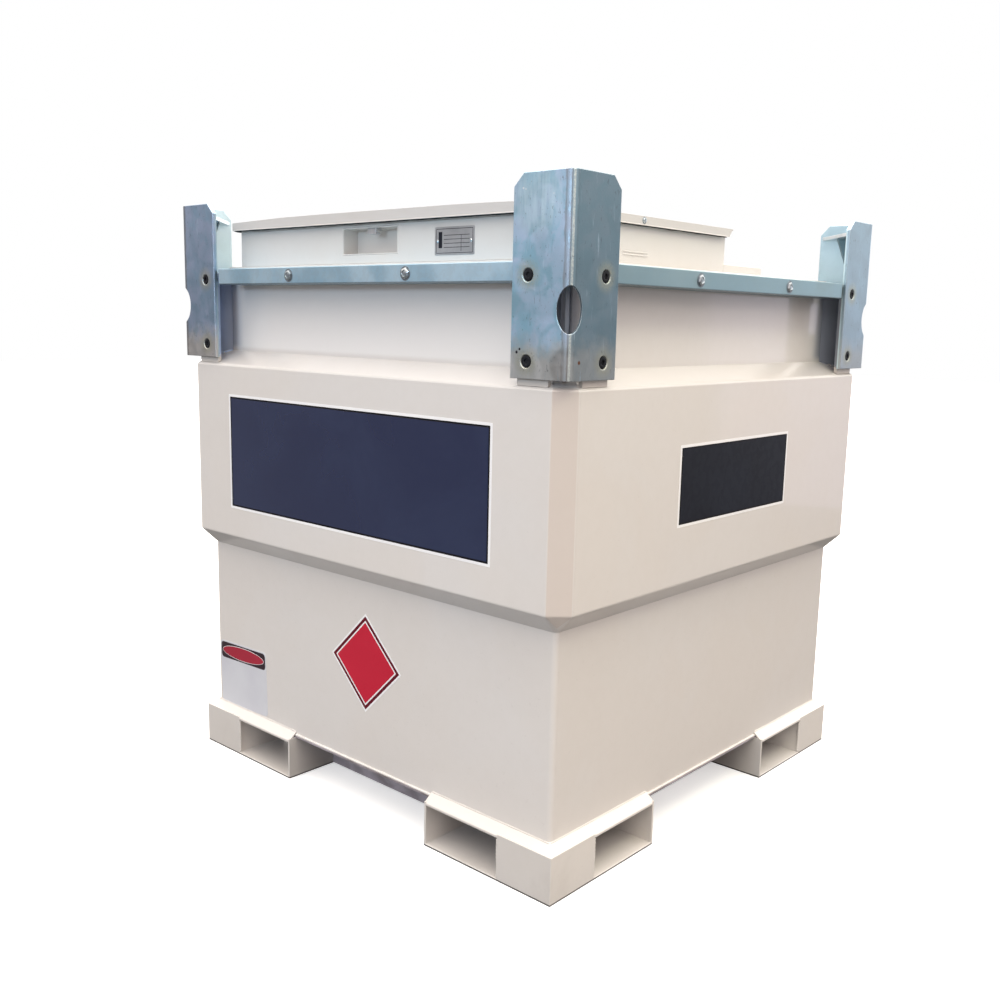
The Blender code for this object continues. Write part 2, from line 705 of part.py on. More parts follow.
def hinge(tag, centre):
    """A knuckle on the cabinet's back wall, and the pin and cheeks that carry the lid."""
    mat = zinc("hinge_base_" + tag)
    face = CAB_BACK + GAP
    front = face + LEAF_THICK
    reach = 0.7 * KNUCKLE_RADIUS
    outline = [(face, LEAF_LOW), (front, LEAF_LOW), (front, LEAF_LOW + BRACE_DROP),
               (HINGE_Y + 0.5 * reach, HINGE_Z - reach), (HINGE_Y - reach, HINGE_Z - 0.5 * reach),
               (front, LEAF_HIGH), (face, LEAF_HIGH)]
    base = side_prism("hinge_base_" + tag, outline, centre - KNUCKLE_HALF, centre + KNUCKLE_HALF,
                      mat)
    combine(base, disc("barrel", KNUCKLE_RADIUS, centre - KNUCKLE_HALF, centre + KNUCKLE_HALF, mat),
            "UNION")
    combine(base, disc("bore", PIN_RADIUS + PIN_PLAY, centre - 0.03, centre + 0.03, mat),
            "DIFFERENCE")
    shade(base, 30.0)
    mat = zinc("hinge_arm_" + tag)
    near = KNUCKLE_HALF + CHEEK_GAP
    far = near + CHEEK_WIDTH
    arm = disc("hinge_arm_" + tag, PIN_RADIUS, centre - far + 0.001, centre + far - 0.001, mat)
    back = LID_BACK + GAP
    reach = 0.7 * KNUCKLE_RADIUS
    for sign in (-1.0, 1.0):
        xs = sorted((centre + sign * near, centre + sign * far))
        cheek = [(back, CHEEK_LOW), (HINGE_Y - reach, HINGE_Z + reach),
                 (HINGE_Y + reach, HINGE_Z + reach), (back, CHEEK_TOP)]
        side = side_prism("cheek", cheek, xs[0], xs[1], mat)
        combine(side, disc("eye", KNUCKLE_RADIUS, xs[0], xs[1], mat), "UNION")
        combine(arm, side, "UNION")
    return shade(arm, 30.0)


def hang(pieces):
    """Give the moving pieces a parent empty on the hinge axis."""
    axis = bpy.data.objects.new("lid_axis", None)
    axis.location = (0.0, HINGE_Y, HINGE_Z)
    bpy.context.scene.collection.objects.link(axis)
    bpy.context.view_layer.update()
    for piece in pieces:
        piece.parent = axis
        piece.matrix_parent_inverse = axis.matrix_world.inverted()


def build():
    """Make every piece of the tank."""
    clear_scene()
    corners = (("front_right", 0), ("back_right", 1), ("back_left", 2), ("front_left", 3))
    sides = (("front", 0), ("right", 1), ("back", 2), ("left", 3))
    floor = prism("tank_floor", plate_outline(FLOOR_HALF, FLOOR_CUT), FLOOR_BOTTOM, FLOOR_TOP,
                  white("tank_floor"))
    shade(soften(floor, 0.001, 2), 30.0)
    deck = prism("top_deck", plate_outline(DECK_HALF, NECK_CHAMFER), DECK_BOTTOM, DECK_TOP,
                 white("top_deck"))
    shade(soften(deck, 0.0015, 2), 30.0)
    for tag, quarter in sides:
        body_panel("body_panel_" + tag, quarter, quarter % 2 == 0)
        cross_plate("cross_plate_" + tag, quarter)
        rail("rail_" + tag, quarter)
    for tag, quarter in corners:
        foot("foot_" + tag, quarter)
        pad("post_pad_" + tag, quarter)
        post("post_" + tag, quarter)
        seat("stack_seat_" + tag, quarter)
    cabinet()
    recess()
    rear_cover()
    hang([cabinet_lid(), hinge("right", HINGE_X), hinge("left", -HINGE_X)])


build()
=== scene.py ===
# %% [markdown]
# # Dressing a stackable square steel tank
# The solids of the tank come from the CAD frame and already have their true sizes. This
# lesson adds what the solids leave out: paint and zinc, screws and bolts, weld beads, the
# plate and the coloured panels, and then the light and the camera.

# %% Load the frame
import math

import bmesh
import bpy
import numpy as np
from mathutils import Matrix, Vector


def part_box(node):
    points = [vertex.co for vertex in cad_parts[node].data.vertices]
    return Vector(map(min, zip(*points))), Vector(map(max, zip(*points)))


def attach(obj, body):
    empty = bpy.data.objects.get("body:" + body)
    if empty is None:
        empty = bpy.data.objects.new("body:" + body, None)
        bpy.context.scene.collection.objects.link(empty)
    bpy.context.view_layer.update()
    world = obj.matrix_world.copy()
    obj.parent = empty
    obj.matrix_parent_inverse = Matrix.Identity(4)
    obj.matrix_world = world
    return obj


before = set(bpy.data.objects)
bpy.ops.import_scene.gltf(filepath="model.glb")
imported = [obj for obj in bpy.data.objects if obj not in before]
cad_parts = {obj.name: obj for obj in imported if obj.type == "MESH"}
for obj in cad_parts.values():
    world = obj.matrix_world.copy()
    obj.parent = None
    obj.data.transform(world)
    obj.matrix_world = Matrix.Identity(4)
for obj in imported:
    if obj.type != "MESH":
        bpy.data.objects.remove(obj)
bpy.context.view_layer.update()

# %% [markdown]
# Every added piece sits on a face of the solids. The faces are read from the frame, so a
# change of the CAD sizes moves the pieces too, and no number is typed twice.

# %% Read the faces that carry the pieces
floor_lip, bracket_plate = 0.003, 0.009
band_face = -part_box("body_panel_front")[0].y
lower_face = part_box("tank_floor")[1].x - floor_lip
floor_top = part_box("tank_floor")[1].z
post_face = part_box("post_front_right")[1].x
bracket_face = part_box("post_pad_front_right")[1].x - bracket_plate
rail_face = -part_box("rail_front")[0].y
cabinet_face = -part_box("cabinet_front")[0].y
cabinet_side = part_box("cabinet_right")[1].x
lid_low, lid_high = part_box("cabinet_lid")
foot_low, foot_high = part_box("foot_front_right")
print("band %.4f, lower %.4f, posts %.4f, rails %.4f, cabinet %.4f"
      % (band_face, lower_face, post_face, rail_face, cabinet_face))

# %% [markdown]
# Pieces, lamps and the camera are all objects of the scene, and lamps and the camera are
# turned as well as moved, so two helpers place them.

# %% Helpers that place objects
def add_object(name, data):
    """A new object with this data, linked to the scene."""
    made = bpy.data.objects.new(name, data)
    bpy.context.scene.collection.objects.link(made)
    return made


def turned_to(side, rise, out, place):
    """Matrix of an object at place whose x, y and z axes are side, rise and out."""
    table = np.eye(4)
    table[:3] = np.stack((side, rise, out, place), -1)
    return Matrix(table.tolist())


# %% [markdown]
# The camera has the photo's viewpoint, worked out from the tank's own corners in it. Yaw,
# pitch and roll are easier to check than a matrix, so the camera's three axes are built from
# those angles.

# %% Place the camera
eye = np.array((1.6790, -1.9662, 1.0667))
yaw, pitch, roll = np.radians((41.936, -9.731, 1.228))
ahead = np.array((-np.sin(yaw) * np.cos(pitch), np.cos(yaw) * np.cos(pitch), np.sin(pitch)))
level = np.array((np.cos(yaw), np.sin(yaw), 0.0))
above = np.cross(level, ahead)
right = np.cos(roll) * level + np.sin(roll) * above
up = np.cos(roll) * above - np.sin(roll) * level

camera = add_object("tank_camera", bpy.data.cameras.new("tank_camera"))
camera.data.lens = 38.13
camera.data.sensor_width = 36.0
camera.data.clip_start = 0.05
camera.matrix_world = turned_to(right, up, -ahead, eye)
bpy.context.scene.camera = camera
tank_middle = (0.0, 0.0, 0.65)
print("camera %.2f m from the middle of the tank" % np.linalg.norm(eye - tank_middle))

# %% [markdown]
# Materials are trees of nodes. Most nodes here do one sum or one mix, so short helpers that
# make a node, set it and join it keep each recipe readable as a list of steps.

# %% Helpers that build node trees
def linear(red, green, blue):
    """Light value of a screen colour: ((c / 255 + 0.055) / 1.055) to the power 2.4."""
    screen = np.array((red, green, blue)) / 255.0
    return tuple((((screen + 0.055) / 1.055) ** 2.4).tolist())


def feed(tree, value, socket):
    """A socket takes a link from another node, or a plain value."""
    if isinstance(value, bpy.types.NodeSocket):
        tree.links.new(value, socket)
    else:
        socket.default_value = value


def sums(tree, operation, *terms, kind="Math"):
    """One Math or VectorMath node: the operation on its terms, as one value."""
    node = tree.nodes.new("ShaderNode" + kind)
    node.operation = operation
    for socket, term in zip(node.inputs, terms):
        feed(tree, term, socket)
    return node.outputs["Value"]


def times(tree, first, second):
    """Product of two values."""
    return sums(tree, "MULTIPLY", first, second)


def spread(tree, value, low, high, to_low=0.0, to_high=1.0):
    """Smooth step: to_low below low, to_high above high, an S curve between."""
    node = tree.nodes.new("ShaderNodeMapRange")
    node.interpolation_type = "SMOOTHSTEP"
    for socket, term in zip(node.inputs, (value, low, high, to_low, to_high)):
        feed(tree, term, socket)
    return node.outputs[0]


def blend(tree, share, first, second, way="MIX"):
    """Colour mix, in red, green and blue: the first where share is 0, the second where it is 1."""
    node = tree.nodes.new("ShaderNodeMix")
    node.data_type = "RGBA"
    node.blend_type = way
    feed(tree, share, node.inputs[0])
    for colour, socket in ((first, node.inputs[6]), (second, node.inputs[7])):
        feed(tree, (*colour, 1.0) if isinstance(colour, tuple) else colour, socket)
    return node.outputs[2]


def clouds(tree, place, scale, detail=2.0, rough=0.5, bend=0.0):
    """Noise at that many clouds per metre, from about 0.3 to 0.7."""
    node = tree.nodes.new("ShaderNodeTexNoise")
    labels = ("Vector", "Scale", "Detail", "Roughness", "Distortion")
    for label, value in zip(labels, (place, scale, detail, rough, bend)):
        feed(tree, value, node.inputs[label])
    return node.outputs["Fac"]


def stretched(tree, place, x, y, z):
    """Coordinates scaled along each axis, so that noise on them is drawn out."""
    node = tree.nodes.new("ShaderNodeMapping")
    feed(tree, place, node.inputs["Vector"])
    node.inputs["Scale"].default_value = (x, y, z)
    return node.outputs["Vector"]


def own_place(tree):
    """The surface's place in the tank's frame, and its x, y and z."""
    place = tree.nodes.new("ShaderNodeTexCoord").outputs["Object"]
    parts = tree.nodes.new("ShaderNodeSeparateXYZ")
    tree.links.new(place, parts.inputs[0])
    return place, parts.outputs[0], parts.outputs[1], parts.outputs[2]


def corner_place(tree):
    """Along a face the smaller of |x| and |y| grows towards the corner; the larger is the reach
    out of the middle. Facing, |y| - |x|, is over 0 on the front and back and under 0 elsewhere."""
    place, x, y, z = own_place(tree)
    wide, deep = sums(tree, "ABSOLUTE", x), sums(tree, "ABSOLUTE", y)
    along, reach = sums(tree, "MINIMUM", wide, deep), sums(tree, "MAXIMUM", wide, deep)
    return place, along, sums(tree, "SUBTRACT", deep, wide), reach, x, y, z


print("node helpers ready")

# %% [markdown]
# Four effects show on more than one finish: the fine ripple of sprayed paint, the clouds
# and specks of a coat, the dirt of handling, and edges that are never quite sharp. Each is a
# node group with named inputs and outputs, so that every finish can use it with values of
# its own. A group puts out masks, heights and normals only.

# %% Start a node group
def new_group(name, inputs, *outputs):
    """An empty group with inputs by name and value, and outputs by name."""
    tree = bpy.data.node_groups.new(name, "ShaderNodeTree")
    for label, value in inputs.items():
        socket = tree.interface.new_socket(label, in_out="INPUT", socket_type="NodeSocketFloat")
        socket.default_value = value
    for label in outputs:
        kind = "NodeSocketVector" if label == "Normal" else "NodeSocketFloat"
        tree.interface.new_socket(label, in_out="OUTPUT", socket_type=kind)
    taken = tree.nodes.new("NodeGroupInput")
    given = tree.nodes.new("NodeGroupOutput")
    return tree, taken.outputs, given.inputs


def use_group(tree, name, **values):
    """A group placed in a material, with its inputs set by name."""
    node = tree.nodes.new("ShaderNodeGroup")
    node.node_tree = bpy.data.node_groups[name]
    for label, value in values.items():
        feed(tree, value, node.inputs[label.replace("_", " ").capitalize()])
    return node.outputs


# %% Group: the ripple of sprayed paint
fine_height, sheet_height = 0.00006, 0.004
tree, taken, given = new_group("spray_ripple", {"Fine": 1.0, "Sheet": 1.0}, "Height")
place, x, y, z = own_place(tree)
fine = times(tree, clouds(tree, place, 330.0, 1.0), taken["Fine"])
wavy = times(tree, clouds(tree, place, 5.0, 1.0), taken["Sheet"])
fine, wavy = times(tree, fine, fine_height), times(tree, wavy, sheet_height)
feed(tree, sums(tree, "ADD", fine, wavy), given["Height"])

# %% Group: clouds and specks in a coat
tree, taken, given = new_group("coat_clouds", {"Size": 9.0}, "Clouds", "Specks")
place, x, y, z = own_place(tree)
large = clouds(tree, place, taken["Size"], 4.0, 0.55, 0.6)
small = clouds(tree, place, times(tree, taken["Size"], 14.0), 2.0, 0.6)
feed(tree, spread(tree, large, 0.36, 0.64), given["Clouds"])
feed(tree, spread(tree, small, 0.40, 0.62), given["Specks"])

# %% Group: dirt of handling
tree, taken, given = new_group("handling_dirt", {"Amount": 0.3, "Height": 0.25}, "Mask")
place, x, y, z = own_place(tree)
low = spread(tree, z, times(tree, taken["Height"], 0.25), taken["Height"], 1.0, 0.0)
patch = spread(tree, clouds(tree, place, 7.0, 5.0, 0.62, 0.4), 0.48, 0.72)
speck = spread(tree, clouds(tree, place, 120.0, 2.0, 0.6), 0.66, 0.74)
mask = sums(tree, "ADD", times(tree, patch, sums(tree, "ADD", low, 0.12)), times(tree, speck, 0.6))
feed(tree, times(tree, mask, taken["Amount"]), given["Mask"])

# %% Group: edges that are never quite sharp
tree, taken, given = new_group("soft_edge", {"Radius": 0.0015}, "Normal", "Edge")
round_off = tree.nodes.new("ShaderNodeBevel")
round_off.samples = 3
feed(tree, taken["Radius"], round_off.inputs["Radius"])
rounded, plain = round_off.outputs[0], tree.nodes.new("ShaderNodeNewGeometry").outputs["Normal"]
turn = sums(tree, "SUBTRACT", 1.0, sums(tree, "DOT_PRODUCT", rounded, plain, kind="VectorMath"))
# The Edge mask is used by the zinc finishes to paint highlights along edges.
feed(tree, spread(tree, turn, 0.01, 0.20), given["Edge"])
feed(tree, rounded, given["Normal"])

print("groups:", ", ".join(sorted(bpy.data.node_groups.keys())))

# %% [markdown]
# A finish is one material with one shader. What differs from finish to finish is its base
# colour, roughness and metal share, so one function starts the tree, and each recipe feeds
# the sockets that it wants to vary.

# %% Start a finish
def new_finish(name, **constants):
    """A material with a Principled shader; constants are set on its own sockets."""
    material = bpy.data.materials.new(name)
    material.use_nodes = True
    tree = material.node_tree
    shader = tree.nodes["Principled BSDF"]
    for label, value in constants.items():
        shader.inputs[label.replace("_", " ")].default_value = value
    return material, tree, shader.inputs


def rippled(tree, fine, sheet, strength, normal=None):
    """The normal, tilted by the ripple of sprayed paint, whose height is in metres."""
    node = tree.nodes.new("ShaderNodeBump")
    node.inputs["Strength"].default_value = strength
    node.inputs["Distance"].default_value = 1.0
    ripple = use_group(tree, "spray_ripple", fine=fine, sheet=sheet)
    feed(tree, ripple["Height"], node.inputs["Height"])
    if normal is not None:
        feed(tree, normal, node.inputs["Normal"])
    return node.outputs[0]


# %% [markdown]
# The tank is sprayed with a glossy off-white enamel. Sprayed enamel shows a fine ripple, the
# sheet under it is a little wavy, and the lowest part collects dirt. A clear coat on the
# shader gives the sharp, weak reflection, and the layer under it stays soft.

# %% Finish: white enamel
def white_enamel(name, tint, dirt, dirt_height, shine, ripple_share=1.0, light_and_shade=None):
    """Off-white paint: tint varied by clouds, darker where dirt lies, ripple in the normal.
    The last argument, if given, is a function that paints light and shade into the colour."""
    material, tree, paint = new_finish(name, Coat_Roughness=0.06, Specular_IOR_Level=0.45)
    coat = use_group(tree, "coat_clouds", size=3.0)
    soil = use_group(tree, "handling_dirt", amount=dirt, height=dirt_height)["Mask"]
    warm = tuple(c * k for c, k in zip(tint, (0.985, 0.965, 0.940)))
    base = blend(tree, times(tree, coat["Clouds"], 0.55), tint, warm)
    base = blend(tree, times(tree, coat["Specks"], 0.04), base, linear(205, 200, 192))
    base = blend(tree, soil, base, linear(136, 126, 112))
    # Painted light and shade of the piece, if given, go over the paint.
    if light_and_shade is not None:
        base = light_and_shade(tree, base)
    feed(tree, base, paint["Base Color"])
    rough = spread(tree, coat["Clouds"], 0.0, 1.0, 0.30, 0.38)
    feed(tree, sums(tree, "ADD", rough, times(tree, soil, 0.4)), paint["Roughness"])
    feed(tree, sums(tree, "SUBTRACT", shine, soil), paint["Coat Weight"])
    feed(tree, rippled(tree, 1.0, ripple_share, 0.35), paint["Normal"])
    return material


chamfer_line, neck_reach = 0.5405, 0.5110
pocket_top, band_top, shoulder_top = 0.090, 0.955, 0.980


def body_painted_light(tree, base):
    """Painted shade on the band's chamfers, darker and warmer; painted light on the neck, most on
    front and back; painted shade with the blue reflection of the zinc posts on the neck's corners.
    """
    place, along, facing, reach, x, y, z = corner_place(tree)
    chamfer = times(tree, spread(tree, along, chamfer_line, chamfer_line + 0.002),
                    spread(tree, z, band_top, band_top - 0.005))
    # Painted shade: the band's chamfer facets darker and warmer.
    base = blend(tree, times(tree, chamfer, 0.45), base, linear(206, 186, 172))
    inner = spread(tree, reach, neck_reach + 0.0015, neck_reach)
    neck = times(tree, spread(tree, z, shoulder_top, shoulder_top + 0.012), inner)
    share = spread(tree, facing, -0.01, 0.01, 0.10, 0.75)
    # Painted light: the neck lighter, much more on front and back than on the sides.
    base = blend(tree, times(tree, neck, share), base, (0.93, 0.92, 0.91))
    corner = times(tree, spread(tree, along, 0.440, 0.490), inner)
    corner = times(tree, corner, spread(tree, z, shoulder_top - 0.002, shoulder_top + 0.016))
    # Painted shade and reflection: the neck's corners beside the posts turn blue-grey.
    return blend(tree, times(tree, corner, 0.70), base, linear(124, 137, 162))


def foot_painted_shade(tree, base):
    """Painted shade: a dark line where a foot stands on the floor, darker the deeper a pocket goes in,
    greyer on front and back.
    """
    place, along, facing, reach, x, y, z = corner_place(tree)
    deep = spread(tree, reach, 0.450, 0.545, 0.50, 0.0)
    deep = times(tree, deep, spread(tree, z, pocket_top, pocket_top + 0.004, 1.0, 0.0))
    # Painted shade: pocket insides darker the deeper they go.
    base = blend(tree, deep, base, linear(112, 106, 106))
    # Painted shade: front and back faces greyer than the sides.
    base = blend(tree, spread(tree, facing, -0.002, 0.002, 0.0, 0.20), base, linear(172, 164, 156))
    # Painted shade: a dark line along the bottom of each foot where it meets the floor.
    return blend(tree, spread(tree, z, 0.0028, 0.0042, 0.92, 0.0), base, linear(52, 46, 44))


body_white = white_enamel("body_white", (0.774, 0.744, 0.720), 0.10, 0.16, 0.95, light_and_shade=body_painted_light)
cabinet_white = white_enamel("cabinet_white", (0.705, 0.690, 0.672), 0.08, 0.20, 0.45)
# Painted shade: the lid's white is toned below the cabinet's so that its top, strongly lit from above,
# does not burn out.
lid_white_shaded = white_enamel("lid_white_shaded", (0.650, 0.632, 0.618), 0.06, 0.20, 0.45)
foot_white = white_enamel("foot_white", (0.795, 0.765, 0.735), 0.12, 0.12, 0.55, 2.5, foot_painted_shade)
print("white finishes:", body_white.name, cabinet_white.name, lid_white_shaded.name, foot_white.name)

# %% [markdown]
# The underside and the plates between the feet get a darker lilac grey as painted shade of the space
# below the body, with road dirt over it, so they read as a grey-brown strip below the body.

# %% Finish: dull underside
under_grey_and_shade, tree, paint = new_finish("under_grey_and_shade", Specular_IOR_Level=0.35)
coat = use_group(tree, "coat_clouds", size=14.0)
soil = use_group(tree, "handling_dirt", amount=0.8, height=0.30)["Mask"]
# Painted shade: these base greys are much darker than the body's white and stand in for the shade
# under the body.
base = blend(tree, coat["Clouds"], linear(186, 178, 186), linear(160, 152, 158))
feed(tree, blend(tree, soil, base, linear(104, 94, 86)), paint["Base Color"])
feed(tree, spread(tree, coat["Specks"], 0.0, 1.0, 0.55, 0.75), paint["Roughness"])
feed(tree, rippled(tree, 3.0, 0.5, 0.5), paint["Normal"])
print("finish:", under_grey_and_shade.name)

# %% [markdown]
# Posts and rails are zinc plated and dipped in a blue passivate. The blue is uneven: it turns lilac in
# clouds, goes grey-brown in a ragged band beside the fold and near the lower end, and leaves tan rings
# round the screws. Light and shade are painted in as well: the legs that face the sides are darker as
# painted shade, a painted highlight runs down the fold, the edges carry painted highlights, and the
# inside faces are painted one light and one dark. Distance from the fold and from the screws comes
# from the surface's own place, so the same recipe fits all four corners. No two posts come out of the
# bath alike: the back ones are paler and the left ones more lilac.

# %% Measure along the legs
screw_at, screw_levels = 0.4875, (0.995, 1.140)


def near_screw(tree, along, z, reach):
    """1 at a screw and 0 at reach from it: the root of the squared distances along and up."""
    across = sums(tree, "POWER", sums(tree, "SUBTRACT", along, screw_at), 2.0)
    rise = [sums(tree, "POWER", sums(tree, "SUBTRACT", z, level), 2.0) for level in screw_levels]
    apart = sums(tree, "SQRT", sums(tree, "ADD", across, sums(tree, "MINIMUM", *rise)))
    return spread(tree, apart, 0.010, reach, 1.0, 0.0)


def near_point(tree, place, centre, reach):
    """1 at a point of the tank's frame and 0 at reach from it."""
    apart = sums(tree, "DISTANCE", place, centre, kind="VectorMath")
    return spread(tree, apart, 0.45 * reach, reach, 1.0, 0.0)


rust, dark, bright = (0.20, 0.09, 0.05), (0.03, 0.03, 0.04), (0.78, 0.86, 0.92)
post_spots = (((0.582, -0.5551, 0.9959), 0.0045, rust), ((0.4663, -0.582, 1.0101), 0.0035, dark),
              ((0.4729, -0.582, 1.0155), 0.0030, dark), ((0.4732, -0.582, 1.2824), 0.0024, bright),
              ((0.4788, -0.582, 1.2804), 0.0018, bright), ((0.5396, -0.582, 1.2703), 0.0016, bright))

# %% Finish: blue zinc on the posts
zinc_post, tree, metal = new_finish("zinc_post", Metallic=0.9)
place, along, facing, reach, x, y, z = corner_place(tree)
coat = use_group(tree, "coat_clouds", size=26.0)
rounded = use_group(tree, "soft_edge", radius=0.0016)
blue, lilac, slate = (0.360, 0.630, 0.800), (0.480, 0.620, 0.800), (0.245, 0.360, 0.430)
wide = times(tree, spread(tree, clouds(tree, place, 9.0, 3.0, 0.5, 0.8), 0.42, 0.62), 0.35)
# Painted shade: the legs that face the sides are darker.
sides = spread(tree, facing, -0.01, 0.01, 0.85, 0.0)
back_post, left_post = spread(tree, y, -0.1, 0.1, 0.0, 0.45), spread(tree, x, -0.1, 0.1, 0.45, 0.0)
wander = times(tree, sums(tree, "SUBTRACT", clouds(tree, place, 40.0, 4.0, 0.6), 0.5), 0.060)
low = spread(tree, sums(tree, "ADD", z, wander), 0.990, 1.050, 0.80, 0.0)
low = times(tree, low, spread(tree, facing, -0.01, 0.01, 0.50, 1.0))
fold = spread(tree, sums(tree, "ADD", along, times(tree, wander, 0.16)), 0.5625, 0.5665)
fold = times(tree, fold, spread(tree, facing, 0.0012, 0.0030, 0.0, 0.60))
worn = near_point(tree, place, (0.571, -0.582, 0.990), 0.046)
worn = spread(tree, sums(tree, "ADD", worn, times(tree, wander, 9.0)), 0.40, 1.00)
worn = times(tree, worn, spread(tree, facing, 0.0012, 0.0030, 0.0, 0.50))
runs = clouds(tree, stretched(tree, place, 1.0, 1.0, 0.12), 110.0, 3.0, 0.6)
pale = near_point(tree, place, (0.505, -0.582, 1.262), 0.070)
pale = times(tree, pale, spread(tree, runs, 0.35, 0.60, 0.2, 0.6))
light_runs = spread(tree, runs, 0.60, 0.72, 0.0, 0.35)
dark_runs = spread(tree, runs, 0.40, 0.28, 0.0, 0.35)
# Painted highlight: a light streak down the fold.
fold_highlight = times(tree, spread(tree, facing, -0.0052, -0.0038), spread(tree, along, 0.564, 0.566))
fold_highlight = times(tree, fold_highlight, spread(tree, facing, 0.0008, 0.0022, 1.0, 0.0))
fold_highlight = times(tree, fold_highlight, spread(tree, coat["Specks"], 0.0, 1.0, 0.45, 0.80))
stain = spread(tree, coat["Specks"], 0.0, 1.0, 0.40, 0.75)
stain = times(tree, near_screw(tree, along, z, 0.034), stain)
scratch = clouds(tree, stretched(tree, place, 1.0, 1.0, 0.35), 260.0, 1.0, 0.5, 1.5)
scratch = times(tree, spread(tree, scratch, 0.70, 0.74), 0.55)
spots = [(near_point(tree, place, centre, size), colour) for centre, size, colour in post_spots]
# Painted light and shade: the inside faces, one very light and one darker.
inside = spread(tree, reach, 0.5738, 0.5772, 0.85, 0.0)
inner = blend(tree, spread(tree, facing, -0.005, 0.005), (0.73, 0.93, 1.0), (0.42, 0.57, 0.64))
base = blend(tree, coat["Clouds"], blue, lilac)
# Among these layers, the last one paints highlights along the edges.
for share, colour in (
        (wide, slate), (sides, (0.165, 0.245, 0.295)), (back_post, (0.62, 0.78, 0.92)),
        (left_post, (0.26, 0.29, 0.46)), (low, (0.62, 0.59, 0.55)), (fold, (0.250, 0.240, 0.245)),
        (worn, (0.240, 0.225, 0.210)), (pale, (0.62, 0.80, 0.90)), (light_runs, (0.60, 0.78, 0.92)),
        (dark_runs, slate), (fold_highlight, (0.70, 0.78, 0.76)), (stain, (0.46, 0.47, 0.37)),
        (scratch, (0.10, 0.11, 0.13)), *spots, (inside, inner),
        (times(tree, rounded["Edge"], 0.7), (0.84, 0.90, 0.95))):
    base = blend(tree, share, base, colour)
feed(tree, base, metal["Base Color"])
grain = times(tree, coat["Specks"], 0.06)
rough = sums(tree, "ADD", spread(tree, coat["Clouds"], 0.0, 1.0, 0.34, 0.44), grain)
feed(tree, rough, metal["Roughness"])
feed(tree, rippled(tree, 1.5, 0.6, 0.4, rounded["Normal"]), metal["Normal"])
print("finish:", zinc_post.name)

# %% Finish: paler zinc on the rails
zinc_rail, tree, metal = new_finish("zinc_rail", Metallic=0.85)
coat = use_group(tree, "coat_clouds", size=7.0)
rounded = use_group(tree, "soft_edge", radius=0.0018)
base = blend(tree, coat["Clouds"], (0.44, 0.70, 0.88), (0.56, 0.76, 0.90))
base = blend(tree, times(tree, coat["Specks"], 0.12), base, (0.40, 0.46, 0.50))
place, along, facing, reach, x, y, z = corner_place(tree)
# Painted shade: the side rails darker than the front and back.
base = blend(tree, spread(tree, facing, -0.05, 0.05, 0.80, 0.0), base, (0.30, 0.43, 0.46))
# Painted shade: a dark band along the rail's underside.
base = blend(tree, spread(tree, z, 1.1296, 1.1325, 0.75, 0.0), base, (0.14, 0.19, 0.23))
# Painted highlight: lighter edges.
base = blend(tree, times(tree, rounded["Edge"], 0.5), base, (0.84, 0.88, 0.90))
feed(tree, base, metal["Base Color"])
feed(tree, spread(tree, coat["Clouds"], 0.0, 1.0, 0.32, 0.44), metal["Roughness"])
feed(tree, rippled(tree, 1.0, 0.6, 0.4, rounded["Normal"]), metal["Normal"])
print("finish:", zinc_rail.name)

# %% [markdown]
# The stacking seats are bright on the plate, where the tank above rubs them; the gusset below is
# painted dark as the shade of the fold. The brackets behind the posts are zinc coated too, with
# painted shade over it: dull and dark grey on the right, blue on the left as a painted reflection of
# the posts, and painted lighter at the root of the web beside the neck. Only their lower ends took
# some of the body's white paint.

# %% Finishes: seats and brackets
zinc_seat, tree, metal = new_finish("zinc_seat", Metallic=0.8, Roughness=0.38)
place, x, y, z = own_place(tree)
coat = use_group(tree, "coat_clouds", size=22.0)
base = blend(tree, coat["Clouds"], (0.80, 0.86, 0.90), (0.70, 0.78, 0.82))
# Painted shade: the gusset below the plate is made dark.
base = blend(tree, spread(tree, z, 1.2722, 1.2736, 0.92, 0.0), base, (0.15, 0.22, 0.26))
feed(tree, base, metal["Base Color"])
feed(tree, rippled(tree, 1.5, 0.4, 0.4), metal["Normal"])

bracket_zinc_and_shade, tree, metal = new_finish("bracket_zinc_and_shade", Roughness=0.42)
place, along, facing, reach, x, y, z = corner_place(tree)
coat = use_group(tree, "coat_clouds", size=18.0)
# Partly zinc and partly painted shade: duller and darker blue than the posts.
dull = blend(tree, coat["Clouds"], (0.400, 0.520, 0.740), (0.310, 0.410, 0.600))
# Painted shade on the right-hand brackets, dark grey; the left keep their blue as a painted reflection
# of the zinc posts.
dull = blend(tree, spread(tree, x, -0.1, 0.1, 0.0, 0.85), dull, (0.230, 0.240, 0.265))
wander = times(tree, sums(tree, "SUBTRACT", coat["Specks"], 0.5), 0.006)
painted = spread(tree, sums(tree, "ADD", z, wander), 0.966, 0.972, 1.0, 0.0)
web = spread(tree, sums(tree, "ABSOLUTE", facing), 0.008, 0.012, 1.0, 0.0)
neck_corner = sums(tree, "ADD", along, reach)
# Painted light and shade on the web: lighter at its root beside the neck, fading to dark towards the
# post.
root = times(tree, web, spread(tree, neck_corner, 1.004, 1.082, 0.85, 0.0))
dull = blend(tree, root, dull, linear(184, 192, 206))
feed(tree, blend(tree, painted, dull, linear(214, 208, 202)), metal["Base Color"])
feed(tree, spread(tree, painted, 0.0, 1.0, 0.4, 0.0), metal["Metallic"])
print("finishes:", zinc_seat.name, bracket_zinc_and_shade.name)

# %% [markdown]
# The bought parts have plain finishes of their own: bright zinc on bolts, black oxide on the
# socket screws, and printed film for the panels. Each still has a little cloud or grain,
# because a perfectly even colour looks like plastic.

